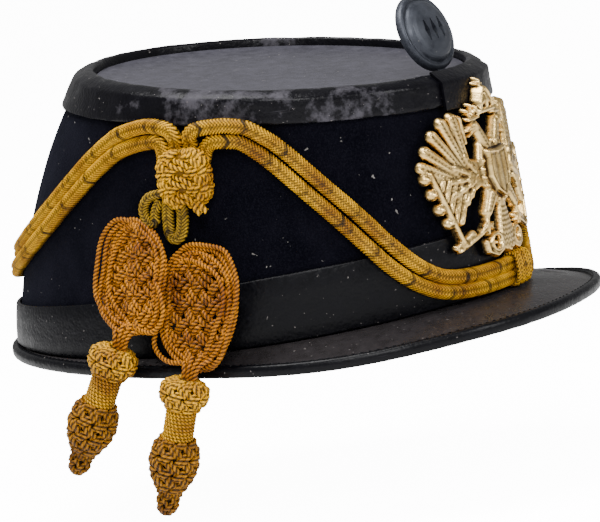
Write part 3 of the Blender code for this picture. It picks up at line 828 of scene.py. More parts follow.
def add_woven_skin(shape, surface, low, high, strands, turns, radius, weave, double=True):
    """Cords of two hands crossing over and under on a closed surface.

    surface(turn, along, out) gives a point; the cords climb from low to high through this many turns.
    """
    along = np.linspace(low, high, 90)
    share = (along - low) / (high - low)
    for hand in (1, -1):
        for strand in range(strands):
            for lane in ((-0.5, 0.5) if double else (0.0,)):
                turn = 2 * pi * (strand / strands + hand * turns * share) + hand * lane * 1.9 * radius / 7.5
                height = hand * weave * np.cos(2 * pi * turns * strands * share)
                path = surface(turn, along, radius * 0.6 + height)
                add_twist(shape, path, radius, step=0.45, sides=8)


def add_core(shape, surface, low, high, out, tone=0.05):
    """A filling under a woven skin, darkened by its tone as painted shade in the gaps between the cords."""
    rows = []
    for along in np.linspace(low, high, 14):
        turn = np.linspace(0, 2 * pi, 28, endpoint=False)
        rows.append(surface(turn, np.full_like(turn, along), out))
    shape.add_grid(np.array(rows), tone, caps=True)


def knot_surface(middle, half):
    """A flattened barrel about a vertical line."""
    middle = np.asarray(middle, float)

    def surface(turn, along, out):
        slim = np.clip(1 - np.abs(along) ** 3.2, 0.0, 1.0) ** 0.35
        deep, wide = square_round(turn, half[0] * slim + out - 1.2, half[1] * slim + out - 1.2, 0.62)
        return np.stack([middle[0] + deep, middle[1] + wide, middle[2] + half[2] * along], -1)
    return surface


# The side knot's two short cord ends
KNOT_ENDS = (
    ((-79.5, -17.5, 53.0), (-80.5, -18.6, 50.4), (-80.0, -20.2, 48.6)),
    ((-79.5, -15.5, 53.0), (-80.7, -16.4, 50.0), (-80.3, -18.0, 48.0)),
)


def build_side_knot(gold):
    """The woven knot on the wearer's right, with two short cord ends."""
    shape = Shape()
    surface = knot_surface((-77.4, -12.2, 61.0), (4.4, 9.8, 10.4))
    # The core's tone of 0.25 is painted shade in the gaps of the weave.
    add_core(shape, surface, -0.95, 0.95, 0.1, tone=0.25)
    add_woven_skin(shape, surface, -0.97, 0.97, strands=9, turns=0.36, radius=1.0, weave=0.70)
    for points in KNOT_ENDS:
        add_twist(shape, curve_through(points, 10), 1.3)
    shape.piece("side_knot_weave", gold, "gold_cord", "side_knot", sharp=80)


def build_left_button(gold):
    """The cord-covered button that holds the festoons on the wearer's left."""
    shape = Shape()
    surface = knot_surface((76.4, -13.2, 61.0), (3.4, 9.6, 9.8))
    add_core(shape, surface, -0.93, 0.93, -0.3)
    add_woven_skin(shape, surface, -0.97, 0.97, strands=8, turns=0.40, radius=0.98, weave=0.55)
    shape.piece("left_button_weave", gold, "gold_cord", "left_button", sharp=80)


LOOPS = {
    "loop_left": {"half_width": 1.75, "points": (
        (-77.8, -2.0, 56.5), (-78.6, 3.0, 55.4), (-79.2, 5.4, 51.4), (-79.4, 4.2, 46.8),
        (-79.2, 1.6, 46.4), (-78.8, 1.0, 50.0), (-78.0, -1.2, 54.0))},
    "loop_right": {"half_width": 2.15, "points": (
        (-78.4, -9.6, 53.0), (-79.2, -9.8, 47.0), (-79.8, -8.6, 41.6), (-80.0, -6.4, 39.9),
        (-79.8, -4.2, 41.6), (-79.2, -3.9, 47.0), (-78.4, -4.4, 53.0))},
}


def build_loops(dull_gold):
    """Two folded loops of flat braid that carry the flounders."""
    for number, (node, row) in enumerate(LOOPS.items()):
        path = curve_through(row["points"], 12)
        shape = Shape()
        outward = np.tile(np.array([-1.0, 0.0, 0.15]), (len(path), 1))
        add_braid(shape, path, outward, row["half_width"], 1.6, seed=90 + number)
        shape.piece(f"{node}_braid", dull_gold, "gold_cord", node, sharp=80)


def mat_frame(middle, lean, yaw):
    """Turns a place on a flounder, across, up and out of its outer face, into a point."""
    spin = Matrix.Rotation(radians(yaw), 3, "Z") @ Matrix.Rotation(radians(lean), 3, "Y")
    axes = [np.array(spin @ Vector(axis)) for axis in ((0, -1, 0), (0, 0, 1), (-1, 0, 0))]

    def place(*amounts):
        point = np.asarray(middle, float)
        for amount, axis in zip(amounts, axes):
            point = point + np.multiply.outer(amount, axis)
        return point
    return place


FLOUNDERS = {
    "flounder_left": {"middle": (-83.9, 12.0, 27.6), "half": (15.6, 21.8), "lean": 16.5, "yaw": -13.5,
                      "cup": 3.4, "seed": 101},
    "flounder_right": {"middle": (-87.0, -14.5, 15.2), "half": (16.2, 23.2), "lean": 18.0, "yaw": -7.0,
                       "cup": 0.8, "seed": 102},
}
# The cord that a flounder is knotted from
MAT_CORD = {"radius": 1.02, "pitch": 3.0, "step": 0.45, "sides": 9}
MAT_SPACING = 5.0
MAT_WEAVE = 1.05
# Cords round a flounder's rim, a row each: inset, distance out and depth of the lobes
MAT_RIMS = ((0.9, 0.7, 0.016), (1.2, -1.1, 0.022), (2.9, 0.9, 0.012))
# Loose cords that stand off each flounder's rim, as shares of its half width and half height
LOOSE_CORDS = {
    "flounder_left": (
        ((0.16, 0.86), (-0.46, 0.95), (-0.93, 0.64), (-1.03, 0.20), (-0.97, -0.22), (-0.78, -0.52)),
        ((0.30, 0.90), (-0.28, 0.74), (-0.66, 0.40), (-0.72, -0.05), (-0.40, -0.60), (0.05, -0.95)),
        ((0.20, -0.84), (0.72, -0.88), (1.03, -0.62), (0.97, -0.25), (0.74, -0.02)),
    ),
    "flounder_right": (
        ((-0.62, 0.70), (-0.34, 0.93), (0.20, 0.99), (0.76, 0.82), (1.03, 0.40), (0.97, -0.10),
         (0.76, -0.32)),
        ((-0.62, 0.70), (0.05, 0.72), (0.55, 0.50), (0.70, 0.00), (0.45, -0.55), (0.05, -0.97)),
        ((-0.74, 0.02), (-0.98, -0.24), (-1.04, -0.56), (-0.70, -0.86), (-0.10, -0.88)),
    ),
}


def build_flounder(node, orange, middle, half, lean, yaw, cup, seed):
    """A knotted mat: paired cords woven on the slant, with loose cords round its rim.

    cup is how deep its far half sinks behind the fold of its near half.
    """
    chance = np.random.default_rng(seed)
    place = mat_frame(middle, lean, yaw)
    shape = Shape()
    half_wide, half_tall = half
    inner_wide, inner_tall = half_wide - 2.0, half_tall - 2.2
    reach = half_wide + half_tall
    bulge, sway = chance.uniform(0, 2 * pi, 2)

    def laid(a, b, c):
        """Bows, folds and loosens the flat mat."""
        bow = 1.4 * (1 - (a / half_wide) ** 2 - (b / half_tall) ** 2)
        inward = 1 - smooth(np.hypot(a / half_wide, b / half_tall), 0.75, 1.0)
        sink = cup * smooth(-a, -3.0, 5.0) * inward
        shift = 0.9 * np.sin(b / 4.6 + bulge) + 0.5 * np.sin(a / 2.9 + sway)
        return place(a + shift * 0.8, b + 0.8 * np.sin(a / 4.1 + sway), c + bow - sink)

    run = np.linspace(-reach, reach, 420)
    for hand in (1, -1):
        for number in range(-8, 9):
            for lane in (-1.0, 1.0):
                offset = number * MAT_SPACING + lane + 0.22 * chance.normal()
                a = (run + hand * offset) / sqrt(2)
                b = (run * hand - offset) / sqrt(2)
                inside = np.abs(a / inner_wide) ** 2.4 + np.abs(b / inner_tall) ** 2.4 < 1
                if inside.sum() < 16:
                    continue
                wave = np.cos(pi * (run[inside] / MAT_SPACING + number)) * hand
                tone = 0.72 + 0.28 * chance.random()
                add_twist(shape, laid(a[inside], b[inside], MAT_WEAVE * wave), tone=tone, **MAT_CORD)
    turn = np.linspace(0, 2 * pi, 200, endpoint=False)
    for number, (inset, out, lobes) in enumerate(MAT_RIMS):
        wobble = 1 - lobes + lobes * np.sin(6 * turn + 2.1 * number + bulge)
        across, upward = square_round(turn, half_wide - inset, half_tall - inset, 0.85)
        add_twist(shape, laid(across * wobble, upward * wobble, out), closed=True, **MAT_CORD)
    for points in LOOSE_CORDS[node]:
        flat = curve_through([(a * half_wide, b * half_tall, 0.0) for a, b in points], 14)
        lift = 2.6 * np.sin(np.linspace(0.0, pi, len(flat))) ** 0.5 - 0.4
        add_twist(shape, laid(flat[:, 0], flat[:, 1], lift), **MAT_CORD)
    shape.piece(f"{node}_weave", orange, "orange_cord", node, sharp=80)


def line_surface(top, tip, outline):
    """A surface turned about the line from top to tip, from an outline of distance and radius."""
    top, tip = np.asarray(top, float), np.asarray(tip, float)
    line = unit(tip - top)
    across = unit(np.cross(line, (1.0, 0.0, 0.0)))
    deep = np.cross(line, across)
    distances, radii = zip(*outline)
    fine = np.linspace(distances[0], distances[-1], 120)
    eased = np.convolve(np.pad(np.interp(fine, distances, radii), 2, "edge"), np.ones(5) / 5, "valid")

    def surface(turn, along, out):
        reach = np.interp(along, fine, eased) + out
        return (top + np.multiply.outer(along, line)
                + (reach * np.cos(turn))[..., None] * across + (reach * np.sin(turn))[..., None] * deep)
    return surface


# A tassel's outline from its top to its tip: distance and radius
TASSEL_OUTLINE = (
    (0.0, 1.6), (0.8, 4.6), (2.4, 7.0), (5.2, 7.7), (7.8, 6.9), (10.2, 4.8), (11.4, 4.5), (22.0, 4.5),
    (23.4, 5.6), (26.6, 7.0), (30.0, 7.5), (34.5, 7.0), (39.5, 4.9), (42.4, 2.8), (44.2, 2.7), (47.6, 3.1),
    (50.0, 2.0), (51.2, 0.4),
)
TASSELS = {
    "tassel_left": {"top": (-92.6, 18.2, 4.0), "tip": (-92.6, 43.2, -40.8)},
    "tassel_right": {"top": (-98.9, -11.0, -8.5), "tip": (-98.9, 5.8, -56.7)},
}
# The wrapped neck between ring knot and acorn
TASSEL_NECK = {"start": 10.8, "length": 11.8, "pitch": 1.35, "radius": 0.74}


def build_tassel(node, gold, brown_gold):
    """Woven ring knot, wrapped neck, woven acorn and a small tip knot."""
    surface = line_surface(TASSELS[node]["top"], TASSELS[node]["tip"], TASSEL_OUTLINE)
    shape = Shape()
    add_core(shape, surface, 0.2, 23.0, -0.4)
    add_woven_skin(shape, surface, 0.2, 10.9, strands=8, turns=0.26, radius=1.0, weave=0.55)
    turns = TASSEL_NECK["length"] / TASSEL_NECK["pitch"]
    share = np.linspace(0, 1, 400)
    neck = surface(2 * pi * turns * share, TASSEL_NECK["start"] + TASSEL_NECK["length"] * share, 0.55)
    add_twist(shape, neck, TASSEL_NECK["radius"], pitch=2.6, sides=8)
    shape.piece(f"{node}_neck", gold, "gold_cord", node, sharp=80)
    acorn = Shape()
    add_core(acorn, surface, 22.0, 51.0, -0.4)
    add_woven_skin(acorn, surface, 22.4, 43.6, strands=8, turns=0.44, radius=1.0, weave=0.66)
    add_woven_skin(acorn, surface, 43.2, 51.2, strands=6, turns=0.30, radius=0.85, weave=0.35, double=False)
    acorn.piece(f"{node}_acorn", brown_gold, "gold_cord", node, sharp=80)


# Where each tassel's cord ends leave its flounder
HANGER_FEET = {"tassel_left": (-89.6, 13.4, 9.2), "tassel_right": (-94.2, -14.8, -3.6)}


def build_hangers(orange):
    """The cord ends that gather out of each flounder into its tassel."""
    shape = Shape()
    for tassel, foot in HANGER_FEET.items():
        foot = np.array(foot)
        top = np.array(TASSELS[tassel]["top"])
        for number in range(4):
            spread = (number - 1.5) * 1.9
            start = foot + (-0.8, spread * 2.0, 3.4 - 0.9 * abs(spread))
            middle = (foot + top) / 2 + (-1.0, spread * 1.0, 1.0)
            end = top + (0.3 * (number % 2), spread * 0.7, -3.0)
            add_twist(shape, curve_through([start, middle, end], 10), 0.95, pitch=3.4, sides=8)
    shape.piece("tassel_hangers", orange, "orange_cord", sharp=80)


# ---------------------------------------------------------------- badge and cockade

BADGE = {"angle": -3.5, "foot": 12.6, "stand_off": 3.7, "radius": 80.0}
BADGE_CELL = 0.31


class Relief:
    """A cast plate drawn as raised forms on a flat grid, u across and v up."""

    def __init__(self, half_width, bottom, top, cell):
        self.cell = cell
        across = np.arange(-half_width, half_width + cell, cell)
        upward = np.arange(bottom, top + cell, cell)
        self.u, self.v = np.meshgrid(across, upward, indexing="ij")
        self.inside = np.full(self.u.shape, 1e3)
        self.height = np.zeros(self.u.shape)

    def form(self, distance, height, edge, detail=0.0):
        """Join a form given by its signed distance, domed over its edge width."""
        self.inside = np.minimum(self.inside, distance)
        share = np.clip(-distance / edge, 0, 1)
        raised = 0.9 + (height - 0.9) * np.sqrt(1 - (1 - share) ** 2) + detail * share
        self.height = np.where(distance < 0, np.maximum(self.height, raised), self.height)

    def bar(self, start, end, radius, end_radius, height, barbs=0.0):
        """A bar that tapers from start to end; barbs cuts it like a feather."""
        start, end = np.array(start, float), np.array(end, float)
        span = end - start
        length = np.linalg.norm(span)
        du, dv = self.u - start[0], self.v - start[1]
        t = np.clip((du * span[0] + dv * span[1]) / length ** 2, 0, 1)
        side = (du * span[1] - dv * span[0]) / length
        away = np.hypot(du - t * span[0], dv - t * span[1])
        distance = away - (radius + (end_radius - radius) * t)
        detail = 0.0
        if barbs:
            shaft = -1.1 * np.exp(-(side / 0.32) ** 2)
            comb = 0.55 * np.cos(2 * pi * (t * length / 1.7 - np.abs(side) / 1.5))
            detail = barbs * (shaft + comb)
        self.form(distance, height, min(radius, end_radius) * 0.95, detail)

    def dot(self, centre, radius, height):
        self.form(np.hypot(self.u - centre[0], self.v - centre[1]) - radius, height, radius)

    def loop(self, centre, radius, width, height):
        ring = np.abs(np.hypot(self.u - centre[0], self.v - centre[1]) - radius) - width
        self.form(ring, height, width)

    def line(self, points, width, height):
        for start, end in zip(points[:-1], points[1:]):
            self.bar(start, end, width, width, height)

    def plate(self, outline, height, edge):
        self.form(self.polygon(outline), height, edge)

    def draw(self, side, bars=(), dots=(), loops=(), lines=(), plates=()):
        """Forms from rows that hold what the calls above take; side -1 mirrors them."""
        at = lambda point: (side * point[0], point[1])
        for start, end, *sizes in bars:
            self.bar(at(start), at(end), *sizes)
        for centre, *sizes in dots:
            self.dot(at(centre), *sizes)
        for centre, *sizes in loops:
            self.loop(at(centre), *sizes)
        for points, *sizes in lines:
            self.line([at(point) for point in points], *sizes)
        for outline, *sizes in plates:
            self.plate([at(point) for point in outline], *sizes)

    def polygon(self, outline):
        """Signed distance to a closed outline, negative inside."""
        nearest = np.full(self.u.shape, 1e6)
        sign = np.ones(self.u.shape)
        count = len(outline)
        for index in range(count):
            a, b = outline[index], outline[(index + 1) % count]
            eu, ev = b[0] - a[0], b[1] - a[1]
            wu, wv = self.u - a[0], self.v - a[1]
            t = np.clip((wu * eu + wv * ev) / (eu * eu + ev * ev), 0, 1)
            nearest = np.minimum(nearest, (wu - eu * t) ** 2 + (wv - ev * t) ** 2)
            above, below = self.v >= a[1], self.v < b[1]
            left = eu * wv > ev * wu
            flip = (above & below & left) | (~above & ~below & ~left)
            sign = np.where(flip, -sign, sign)
        return sign * np.sqrt(nearest)

    def mesh(self, place, edge=0.8, back=lambda u, v: 0.0 * u):
        """Points, faces and tones of a closed plate, with its border drawn on to the outline.

        The front sinks to the edge height at its border, and nowhere comes nearer than 0.5 to the back.
        """
        inside = self.inside
        kept = (inside[:-1, :-1] + inside[1:, :-1] + inside[:-1, 1:] + inside[1:, 1:]) / 4 < 0
        index = np.arange(self.u.size).reshape(self.u.shape)
        corners = (index[:-1, :-1], index[1:, :-1], index[1:, 1:], index[:-1, 1:])
        quads = np.stack([corner[kept] for corner in corners], -1)
        edges = np.concatenate([quads[:, [corner, (corner + 1) % 4]] for corner in range(4)])
        key = np.sort(edges, axis=1)
        _, where, counts = np.unique(key[:, 0].astype(np.int64) * self.u.size + key[:, 1],
                                     return_index=True, return_counts=True)
        border = edges[where[counts == 1]]
        on_border = np.zeros(self.u.size, bool)
        on_border[border.ravel()] = True
        slope_u, slope_v = np.gradient(self.inside, self.cell)
        norm = np.maximum(slope_u ** 2 + slope_v ** 2, 0.25)
        shift = np.clip(self.inside, -0.8 * self.cell, 0.8 * self.cell)
        u = np.where(on_border, (self.u - shift * slope_u / norm).ravel(), self.u.ravel())
        v = np.where(on_border, (self.v - shift * slope_v / norm).ravel(), self.v.ravel())
        height = np.where(on_border, np.minimum(self.height.ravel(), edge), self.height.ravel())
        height = np.maximum(height, back(u, v) + 0.5)
        used = np.unique(quads)
        lookup = np.full(self.u.size, -1)
        lookup[used] = np.arange(len(used))
        front = place(u[used], v[used], height[used])
        rear = place(u[used], v[used], back(u[used], v[used]))
        count = len(used)
        quads, border = lookup[quads], lookup[border]
        start, end = border.T
        faces = quads.tolist() + (quads[:, ::-1] + count).tolist()
        faces += np.stack([end, start, start + count, end + count], -1).tolist()
        local = self.height - smooth_blur(np.where(self.inside < 0, self.height, 0.0), 3)
        tone = np.concatenate([np.clip(0.58 + 0.95 * local.ravel()[used], 0.05, 1), np.full(count, 0.35)])
        return np.vstack([front, rear]), faces, tone


def smooth_blur(values, reach):
    total = np.zeros_like(values)
    for du in range(-reach, reach + 1):
        for dv in range(-reach, reach + 1):
            total += np.roll(np.roll(values, du, 0), dv, 1)
    return total / (2 * reach + 1) ** 2


# The eagle's forms. WING, HEAD and LEGS hold one half, which is mirrored, and CROWN lies on the middle.
# Bars: start, end, radius, end radius, height and depth of the barbs. Dots: middle, radius and height.
# Loops: middle, radius, width and height. Lines: points, width and height. Plates: outline, height and
# width of the domed edge.
WING = {
    "bars": (((35.2, 36.2), (25.4, 9.2), 1.15, 1.3, 3.6),),
    "dots": (((24.6, 7.6), 2.1, 3.6),),
    "lines": ((((15.4, 44.0), (16.4, 53.4), (20.6, 55.0), (22.0, 48.0)), 1.0, 2.6),),
    "plates": (
        (((9, 27), (10, 37), (15, 38), (19, 42), (25, 37), (33.5, 34), (25, 14), (20, 24)), 2.2, 1.4),
    ),
}
WING_TIPS = ((20.5, 53.6), (26.0, 52.6), (31.0, 48.8), (35.0, 43.8), (37.2, 38.4))
ROUNDELS = ((36.6, 34.4), (34.8, 28.4), (32.4, 22.4), (29.6, 16.8))
# Rows of short feathers that fan out over the wing's shoulder: reach and count
COVERTS = ((15.5, 5), (11.0, 5), (6.5, 4))
HEAD = {
    "bars": (
        ((3.5, 41), (8.2, 48.6), 3.2, 2.7, 3.8, 0.25), ((10.6, 49.6), (14.6, 48.2), 1.35, 0.55, 3.8),
        ((10.6, 48.0), (14.0, 45.8), 1.0, 0.45, 3.3), ((6.2, 52.4), (12.4, 52.0), 0.9, 0.9, 3.8),
    ),
    "dots": (((9.4, 49.4), 2.7, 4.3), ((9.9, 50.1), 0.75, 5.1)),
}
HEAD_PRONGS = ((6.4, 55.4), (9.4, 56.4), (12.6, 54.8))
LEGS = {
    "bars": (
        ((6.4, 23.0), (10.8, 17.4), 3.3, 2.5, 4.0, 0.35), ((10.8, 17.4), (12.0, 13.6), 1.4, 1.2, 3.4),
        ((12.0, 13.4), (9.4, 10.6), 1.1, 0.6, 3.6), ((12.0, 13.4), (12.4, 9.4), 1.1, 0.6, 3.6),
        ((12.0, 13.4), (15.4, 11.4), 1.1, 0.6, 3.6), ((9.0, 12.6), (27.2, 5.6), 1.15, 0.9, 2.9),
        ((13.4, 13.0), (12.0, 9.2), 0.85, 0.85, 3.4), ((19.6, 10.6), (27.6, 7.0), 1.9, 1.5, 2.6, 0.25),
    ),
    "dots": (((7.9, 5.4), 1.0, 2.6),),
    "loops": (((7.9, 5.6), 3.1, 1.15, 3.3),),
    "lines": ((((4.6, 2.2), (8.4, 0.8), (12.6, 2.6), (13.2, 6.6)), 1.05, 2.8),),
}
BODY = ((-8.5, 43), (8.5, 43), (10.8, 36), (10.4, 27), (6, 20), (0, 16.5), (-6, 20), (-10.4, 27), (-10.8, 36))
TAIL_LEANS = (-4.6, -2.4, 0.0, 2.4, 4.6)
BEADS = {"count": 22, "middle": 31.5, "half_width": 9.3, "half_height": 11.2, "radius": 0.95, "height": 4.3}
SHIELD = ((-7.4, 40.6), (0, 39.6), (7.4, 40.6), (7.6, 30), (4.6, 24), (0, 20.8), (-4.6, 24), (-7.6, 30))
SHIELD_MIDDLE = 31.2
STRIPE_WIDTH = 4.0
CROWN = {
    "bars": (((0, 62.0), (0, 65.4), 0.75, 0.75, 3.4), ((-1.9, 63.8), (1.9, 63.8), 0.7, 0.7, 3.4)),
    "dots": tuple(((u, 54.2), 0.75, 5.0) for u in (-5.4, -2.7, 0.0, 2.7, 5.4)),
    "lines": (
        (((4.6, 55.4), (4.3, 57.8), (2.4, 60.8), (0.7, 62.6)), 0.7, 5.2),
        (((-4.6, 55.4), (-4.3, 57.8), (-2.4, 60.8), (-0.7, 62.6)), 0.7, 5.2),
        (((0, 55.5), (0, 62.2)), 0.6, 5.4),
    ),
    "plates": (
        (((-6.4, 55.6), (6.4, 55.6), (7.0, 52.8), (-7.0, 52.8)), 4.4, 0.9),
        (((-5.6, 55.0), (5.6, 55.0), (5.4, 57.6), (3.2, 60.6), (0.9, 63.0), (-0.9, 63.0), (-3.2, 60.6),
          (-5.4, 57.6)), 4.6, 3.0),
    ),
}


def draw_wing(relief, side):
    """A spread wing: long feathers, three fans of short ones, hanging ones and a beaded rim."""
    relief.draw(side, **WING)
    feathers = []
    for number, tip in enumerate(WING_TIPS):
        root = (16.5 + 1.1 * number, 36.5 - 1.5 * number)
        feathers.append((root, tip, 1.5, 2.55, 3.0 - 0.12 * number, 0.42))
    for row, (reach, count) in enumerate(COVERTS):
        for number in range(count):
            heading = radians(68 - 31 * number)
            u = 12.5 + reach * cos(heading) * 0.92
            v = 30.5 + reach * sin(heading) * 0.62
            root = (u - 3.4 * cos(heading), v - 2.6 * sin(heading))
            feathers.append((root, (u, v), 1.2, 1.55, 3.3 + 0.25 * row, 0.22))
    for row in range(4):
        for number in range(5 - row):
            u, v = 31.2 - 1.3 * row - 2.9 * number, 31.4 - 4.3 * row - 0.6 * number
            feathers.append(((u - 1.6, v + 1.0), (u, v - 1.8), 1.1, 1.45, 3.2 - 0.1 * number, 0.2))
    relief.draw(side, bars=feathers)
    for u, v in ROUNDELS:
        relief.draw(side, dots=(((u, v), 2.55, 3.2), ((u - 0.2, v), 1.3, 4.0)))


def draw_head(relief, side):
    """One of the two heads, with its beak and small crown."""
    relief.draw(side, **HEAD)
    for u, v in HEAD_PRONGS:
        relief.draw(side, bars=(((9.3, 52.2), (u, v), 0.8, 0.7, 3.0),), dots=(((u, v + 0.5), 1.0, 3.8),))


def draw_eagle(relief):
    """A two-headed eagle with a plain shield, a traditional figure drawn freely."""
    for side in (-1, 1):
        draw_wing(relief, side)
        draw_head(relief, side)
        relief.draw(side, **LEGS)
    relief.plate(BODY, 3.2, 2.6)
    for lean in TAIL_LEANS:
        end = (lean, 1.6 + abs(lean) * 0.35)
        relief.bar((lean * 0.3, 19), end, 1.1, 1.5, 3.3 - 0.05 * abs(lean), barbs=0.35)
    for index in range(BEADS["count"]):
        turn = 2 * pi * index / BEADS["count"]
        centre = (BEADS["half_width"] * sin(turn), BEADS["middle"] + BEADS["half_height"] * cos(turn))
        relief.dot(centre, BEADS["radius"], BEADS["height"])
    relief.plate(SHIELD, 5.4, 0.9)
    inner = relief.polygon([(u * 0.80, SHIELD_MIDDLE + (v - SHIELD_MIDDLE) * 0.82) for u, v in SHIELD])
    sunk = (inner < 0) & (relief.height > 5.0)
    stripes = 0.5 * smooth(np.cos(2 * pi * relief.u / STRIPE_WIDTH), -0.2, 0.2)
    relief.height = np.where(sunk, 4.5 + stripes * np.clip(-inner / 0.6, 0, 1), relief.height)
    relief.draw(1, **CROWN)


def build_badge(brass):
    relief = Relief(41.0, -1.5, 68.0, BADGE_CELL)
    draw_eagle(relief)
    relief.height = smooth_blur(np.where(relief.inside < 0.3, relief.height, 0.9), 1)

    def place(u, v, height):
        angle = BADGE["angle"] + np.degrees(u / BADGE["radius"])
        return wall(angle, rise_at(angle, BADGE["foot"] + v), BADGE["stand_off"] + height)
    Shape(*relief.mesh(place)).piece("eagle_relief", brass, "gilt_brass", "eagle_badge", sharp=75)


# The cockade's half section from its middle outwards, in rows of radius, front and back
COCKADE_SECTION = (
    (0.0, 5.2, 3.2), (6.0, 5.0, 3.0), (9.0, 4.5, 2.6), (10.6, 3.9, 1.1), (11.6, 3.0, 0.5), (12.2, 2.1, 0.4),
    (12.6, 1.8, 0.3), (13.0, 2.1, -0.7), (13.7, 2.3, -0.8), (14.4, 1.9, -0.8), (14.9, 0.9, -0.8),
)
COCKADE_MIDDLE = (0.0, -79.6, 95.8)
COCKADE_FACING = (-0.17, -0.935, 0.312)
COCKADE_CELL = 0.26
LOZENGE = {"spacing": 4.4, "half_width": 1.3, "half_height": 4.6}
# The stem: its start, up from the cockade's middle, and its section, across and out of the face
STEM_START = -13.4
STEM_SECTION = ((-2.4, -0.4), (2.4, -0.4), (2.4, 0.9), (-2.4, 0.9))


def build_cockade(metal):
    """A turned disc with a broad dome and a raised rim, pierced by three lozenges, on a flat stem."""
    face = unit(np.array(COCKADE_FACING))
    side = unit(np.cross(face, (0.0, 0.0, 1.0)))
    upward = np.cross(side, face)
    radii, fronts, backs = (np.array(column) for column in zip(*COCKADE_SECTION))
    border = radii[-1] + 0.3
    relief = Relief(border, -border, border, COCKADE_CELL)
    radius = np.hypot(relief.u, relief.v)
    relief.inside = radius - radii[-1]
    relief.height = np.interp(radius, radii, fronts)
    for number in (-1, 0, 1):
        across = np.abs(relief.u - number * LOZENGE["spacing"]) / LOZENGE["half_width"]
        distance = (across + np.abs(relief.v) / LOZENGE["half_height"] - 1) * LOZENGE["half_width"] * 0.96
        relief.inside = np.maximum(relief.inside, -distance)

    def place(u, v, height):
        return (np.array(COCKADE_MIDDLE) + np.multiply.outer(u, side) + np.multiply.outer(v, upward)
                + np.multiply.outer(height, face))

    def rear(u, v):
        return np.interp(np.hypot(u, v), radii, backs)
    shape = Shape(*relief.mesh(place, 20.0, rear))
    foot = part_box("cockade")[0][2] / MM + 0.3
    top = [place(u, STEM_START, out) for u, out in STEM_SECTION]
    down = -upward / upward[2] * (top[0][2] - foot)
    rows = [[corner + down * share for corner in top] for share in np.linspace(0, 1, 8)]
    shape.add_grid(rounded(np.array(rows).transpose(1, 0, 2), 0.3).transpose(1, 0, 2), caps=True)
    shape.piece("cockade_disc", metal, "dark_metal", "cockade", sharp=60)


# ---------------------------------------------------------------- floor, light and camera

CAMERA = {"azimuth": -64.0, "elevation": 7.6, "roll": -9.0, "distance": 1800.0, "pixels_per_mm": 2.66}
CAMERA_TARGET = (0.0, 0.0, 55.0)
TARGET_PIXEL = (248.3, 162.0)
PHOTO_SIZE = (600, 522)
# The floor's height, its reach in metres and how bright it looks to the camera alone
FLOOR = {"height": -72.0, "reach": 9.0, "glow": 13.0}
# Strength of the surroundings, as they light the hat and as the camera sees them
ROOM = {"lighting": 0.42, "seen": 15.0}
# Soft lights, in metres and watts
LIGHTS = {
    "softbox_top": {"place": (-0.3, 0.3, 1.5), "size": 0.9, "power": 42.0},
    "softbox_camera": {"place": (-1.4, -0.7, 1.0), "size": 0.6, "power": 24.0},
    "softbox_front": {"place": (-0.2, -1.6, 0.8), "size": 0.5, "power": 14.0},
}
LIGHT_TARGET = (0.0, 0.0, 0.05)


def build_floor():
    """A pale floor under the tassels' tips."""
    reach = FLOOR["reach"]
    corners = ((-reach, -reach), (reach, -reach), (reach, reach), (-reach, reach))
    mesh = bpy.data.meshes.new("floor")
    mesh.from_pydata([(x, y, FLOOR["height"] * MM) for x, y in corners], [], [(0, 1, 2, 3)])
    finish = Finish("pale_floor", 0.9, Specular_IOR_Level=0.1)
    finish.shader.inputs["Base Color"].default_value = (0.93, 0.93, 0.93, 1.0)
    finish.shader.inputs["Emission Color"].default_value = (1.0, 1.0, 1.0, 1.0)
    seen = finish.node("ShaderNodeLightPath").outputs["Is Camera Ray"]
    finish.link(finish.maths("MULTIPLY", seen, FLOOR["glow"]), finish.shader.inputs["Emission Strength"])
    mesh.materials.append(finish.material)
    placed("floor", mesh)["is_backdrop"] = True


def build_light():
    world = bpy.data.worlds.new("pale_room")
    world.use_nodes = True
    nodes, links = world.node_tree.nodes, world.node_tree.links
    background = nodes["Background"]
    background.inputs["Color"].default_value = (1.0, 1.0, 1.0, 1.0)
    seen = nodes.new("ShaderNodeLightPath").outputs["Is Camera Ray"]
    strength = nodes.new("ShaderNodeMapRange")
    strength.inputs["To Min"].default_value = ROOM["lighting"]
    strength.inputs["To Max"].default_value = ROOM["seen"]
    links.new(seen, strength.inputs["Value"])
    links.new(strength.outputs["Result"], background.inputs["Strength"])
    bpy.context.scene.world = world
    for name, row in LIGHTS.items():
        data = bpy.data.lights.new(name, "AREA")
        data.size = row["size"]
        data.energy = row["power"]
        light = placed(name, data)
        light.location = Vector(row["place"])
        light.rotation_euler = (Vector(LIGHT_TARGET) - light.location).to_track_quat("-Z", "Y").to_euler()


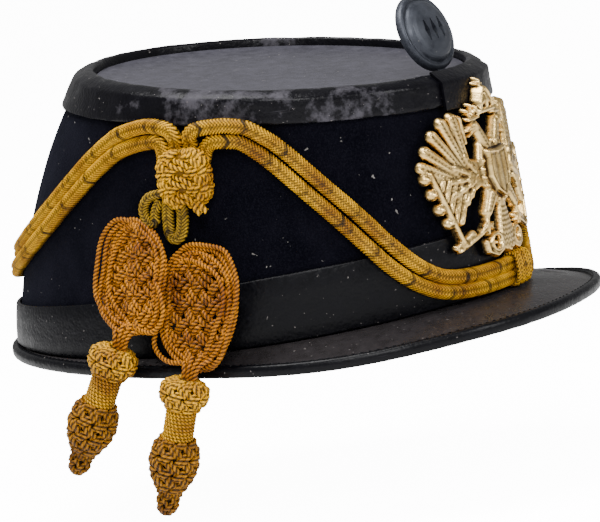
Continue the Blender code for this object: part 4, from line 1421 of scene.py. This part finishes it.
def build_camera():
    """The camera stands level with the photo's view; its roll is the hat's tilt in the photo."""
    azimuth, elevation, roll = (radians(CAMERA[key]) for key in ("azimuth", "elevation", "roll"))
    back = Vector((sin(azimuth) * cos(elevation), -cos(azimuth) * cos(elevation), sin(elevation)))
    right = (-back).cross(Vector((0, 0, 1))).normalized()
    up = right.cross(-back)
    side = right * cos(roll) + up * sin(roll)
    top = up * cos(roll) - right * sin(roll)
    across = (PHOTO_SIZE[0] / 2 - TARGET_PIXEL[0]) / CAMERA["pixels_per_mm"]
    down = (PHOTO_SIZE[1] / 2 - TARGET_PIXEL[1]) / CAMERA["pixels_per_mm"]
    aim = Vector(CAMERA_TARGET) + side * across - top * down
    data = bpy.data.cameras.new("photo_camera")
    data.sensor_width = 36.0
    data.lens = CAMERA["pixels_per_mm"] * CAMERA["distance"] * data.sensor_width / PHOTO_SIZE[0]
    camera = placed("photo_camera", data)
    turn = Matrix((side, top, back)).transposed().to_4x4()
    camera.matrix_world = Matrix.Translation((aim + back * CAMERA["distance"]) * MM) @ turn
    bpy.context.scene.camera = camera


def write_sizes(cad_box):
    rows = lambda box: [[float(value) for value in corner] for corner in box]
    {"cad": rows(cad_box), "visual": rows(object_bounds())}


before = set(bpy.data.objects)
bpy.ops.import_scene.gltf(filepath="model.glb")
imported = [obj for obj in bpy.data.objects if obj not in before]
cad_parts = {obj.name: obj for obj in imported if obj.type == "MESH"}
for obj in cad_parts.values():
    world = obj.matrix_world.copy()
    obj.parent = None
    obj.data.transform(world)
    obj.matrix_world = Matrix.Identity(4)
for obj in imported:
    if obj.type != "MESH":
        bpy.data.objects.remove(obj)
cad_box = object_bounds()
build_camera()
build_floor()
build_light()
felt = felt_finish()
leathers = {name: leather_finish(name, **row) for name, row in LEATHERS.items()}
silks = {name: cord_finish(name, **row) for name, row in SILKS.items()}
brass = brass_finish()
metal = dark_metal_finish()
build_crown_shell(felt)
build_crown_band(leathers["rubbed_leather"])
build_top_disc(leathers["top_leather"])
build_base_band(leathers["black_leather"])
build_brim(leathers["brim_leather"])
build_edging(leathers["black_leather"])
build_front_tab(leathers["rubbed_leather"])
build_festoons(silks["gold_silk"])
build_keeper(silks["gold_silk"])
build_side_knot(silks["gold_silk"])
build_left_button(silks["gold_silk"])
build_loops(silks["dull_gold_silk"])
for flounder, row in FLOUNDERS.items():
    build_flounder(flounder, silks["orange_silk"], **row)
for tassel in TASSELS:
    build_tassel(tassel, silks["gold_silk"], silks["brown_gold_silk"])
build_hangers(silks["orange_silk"])
build_badge(brass)
build_cockade(metal)
write_sizes(cad_box)
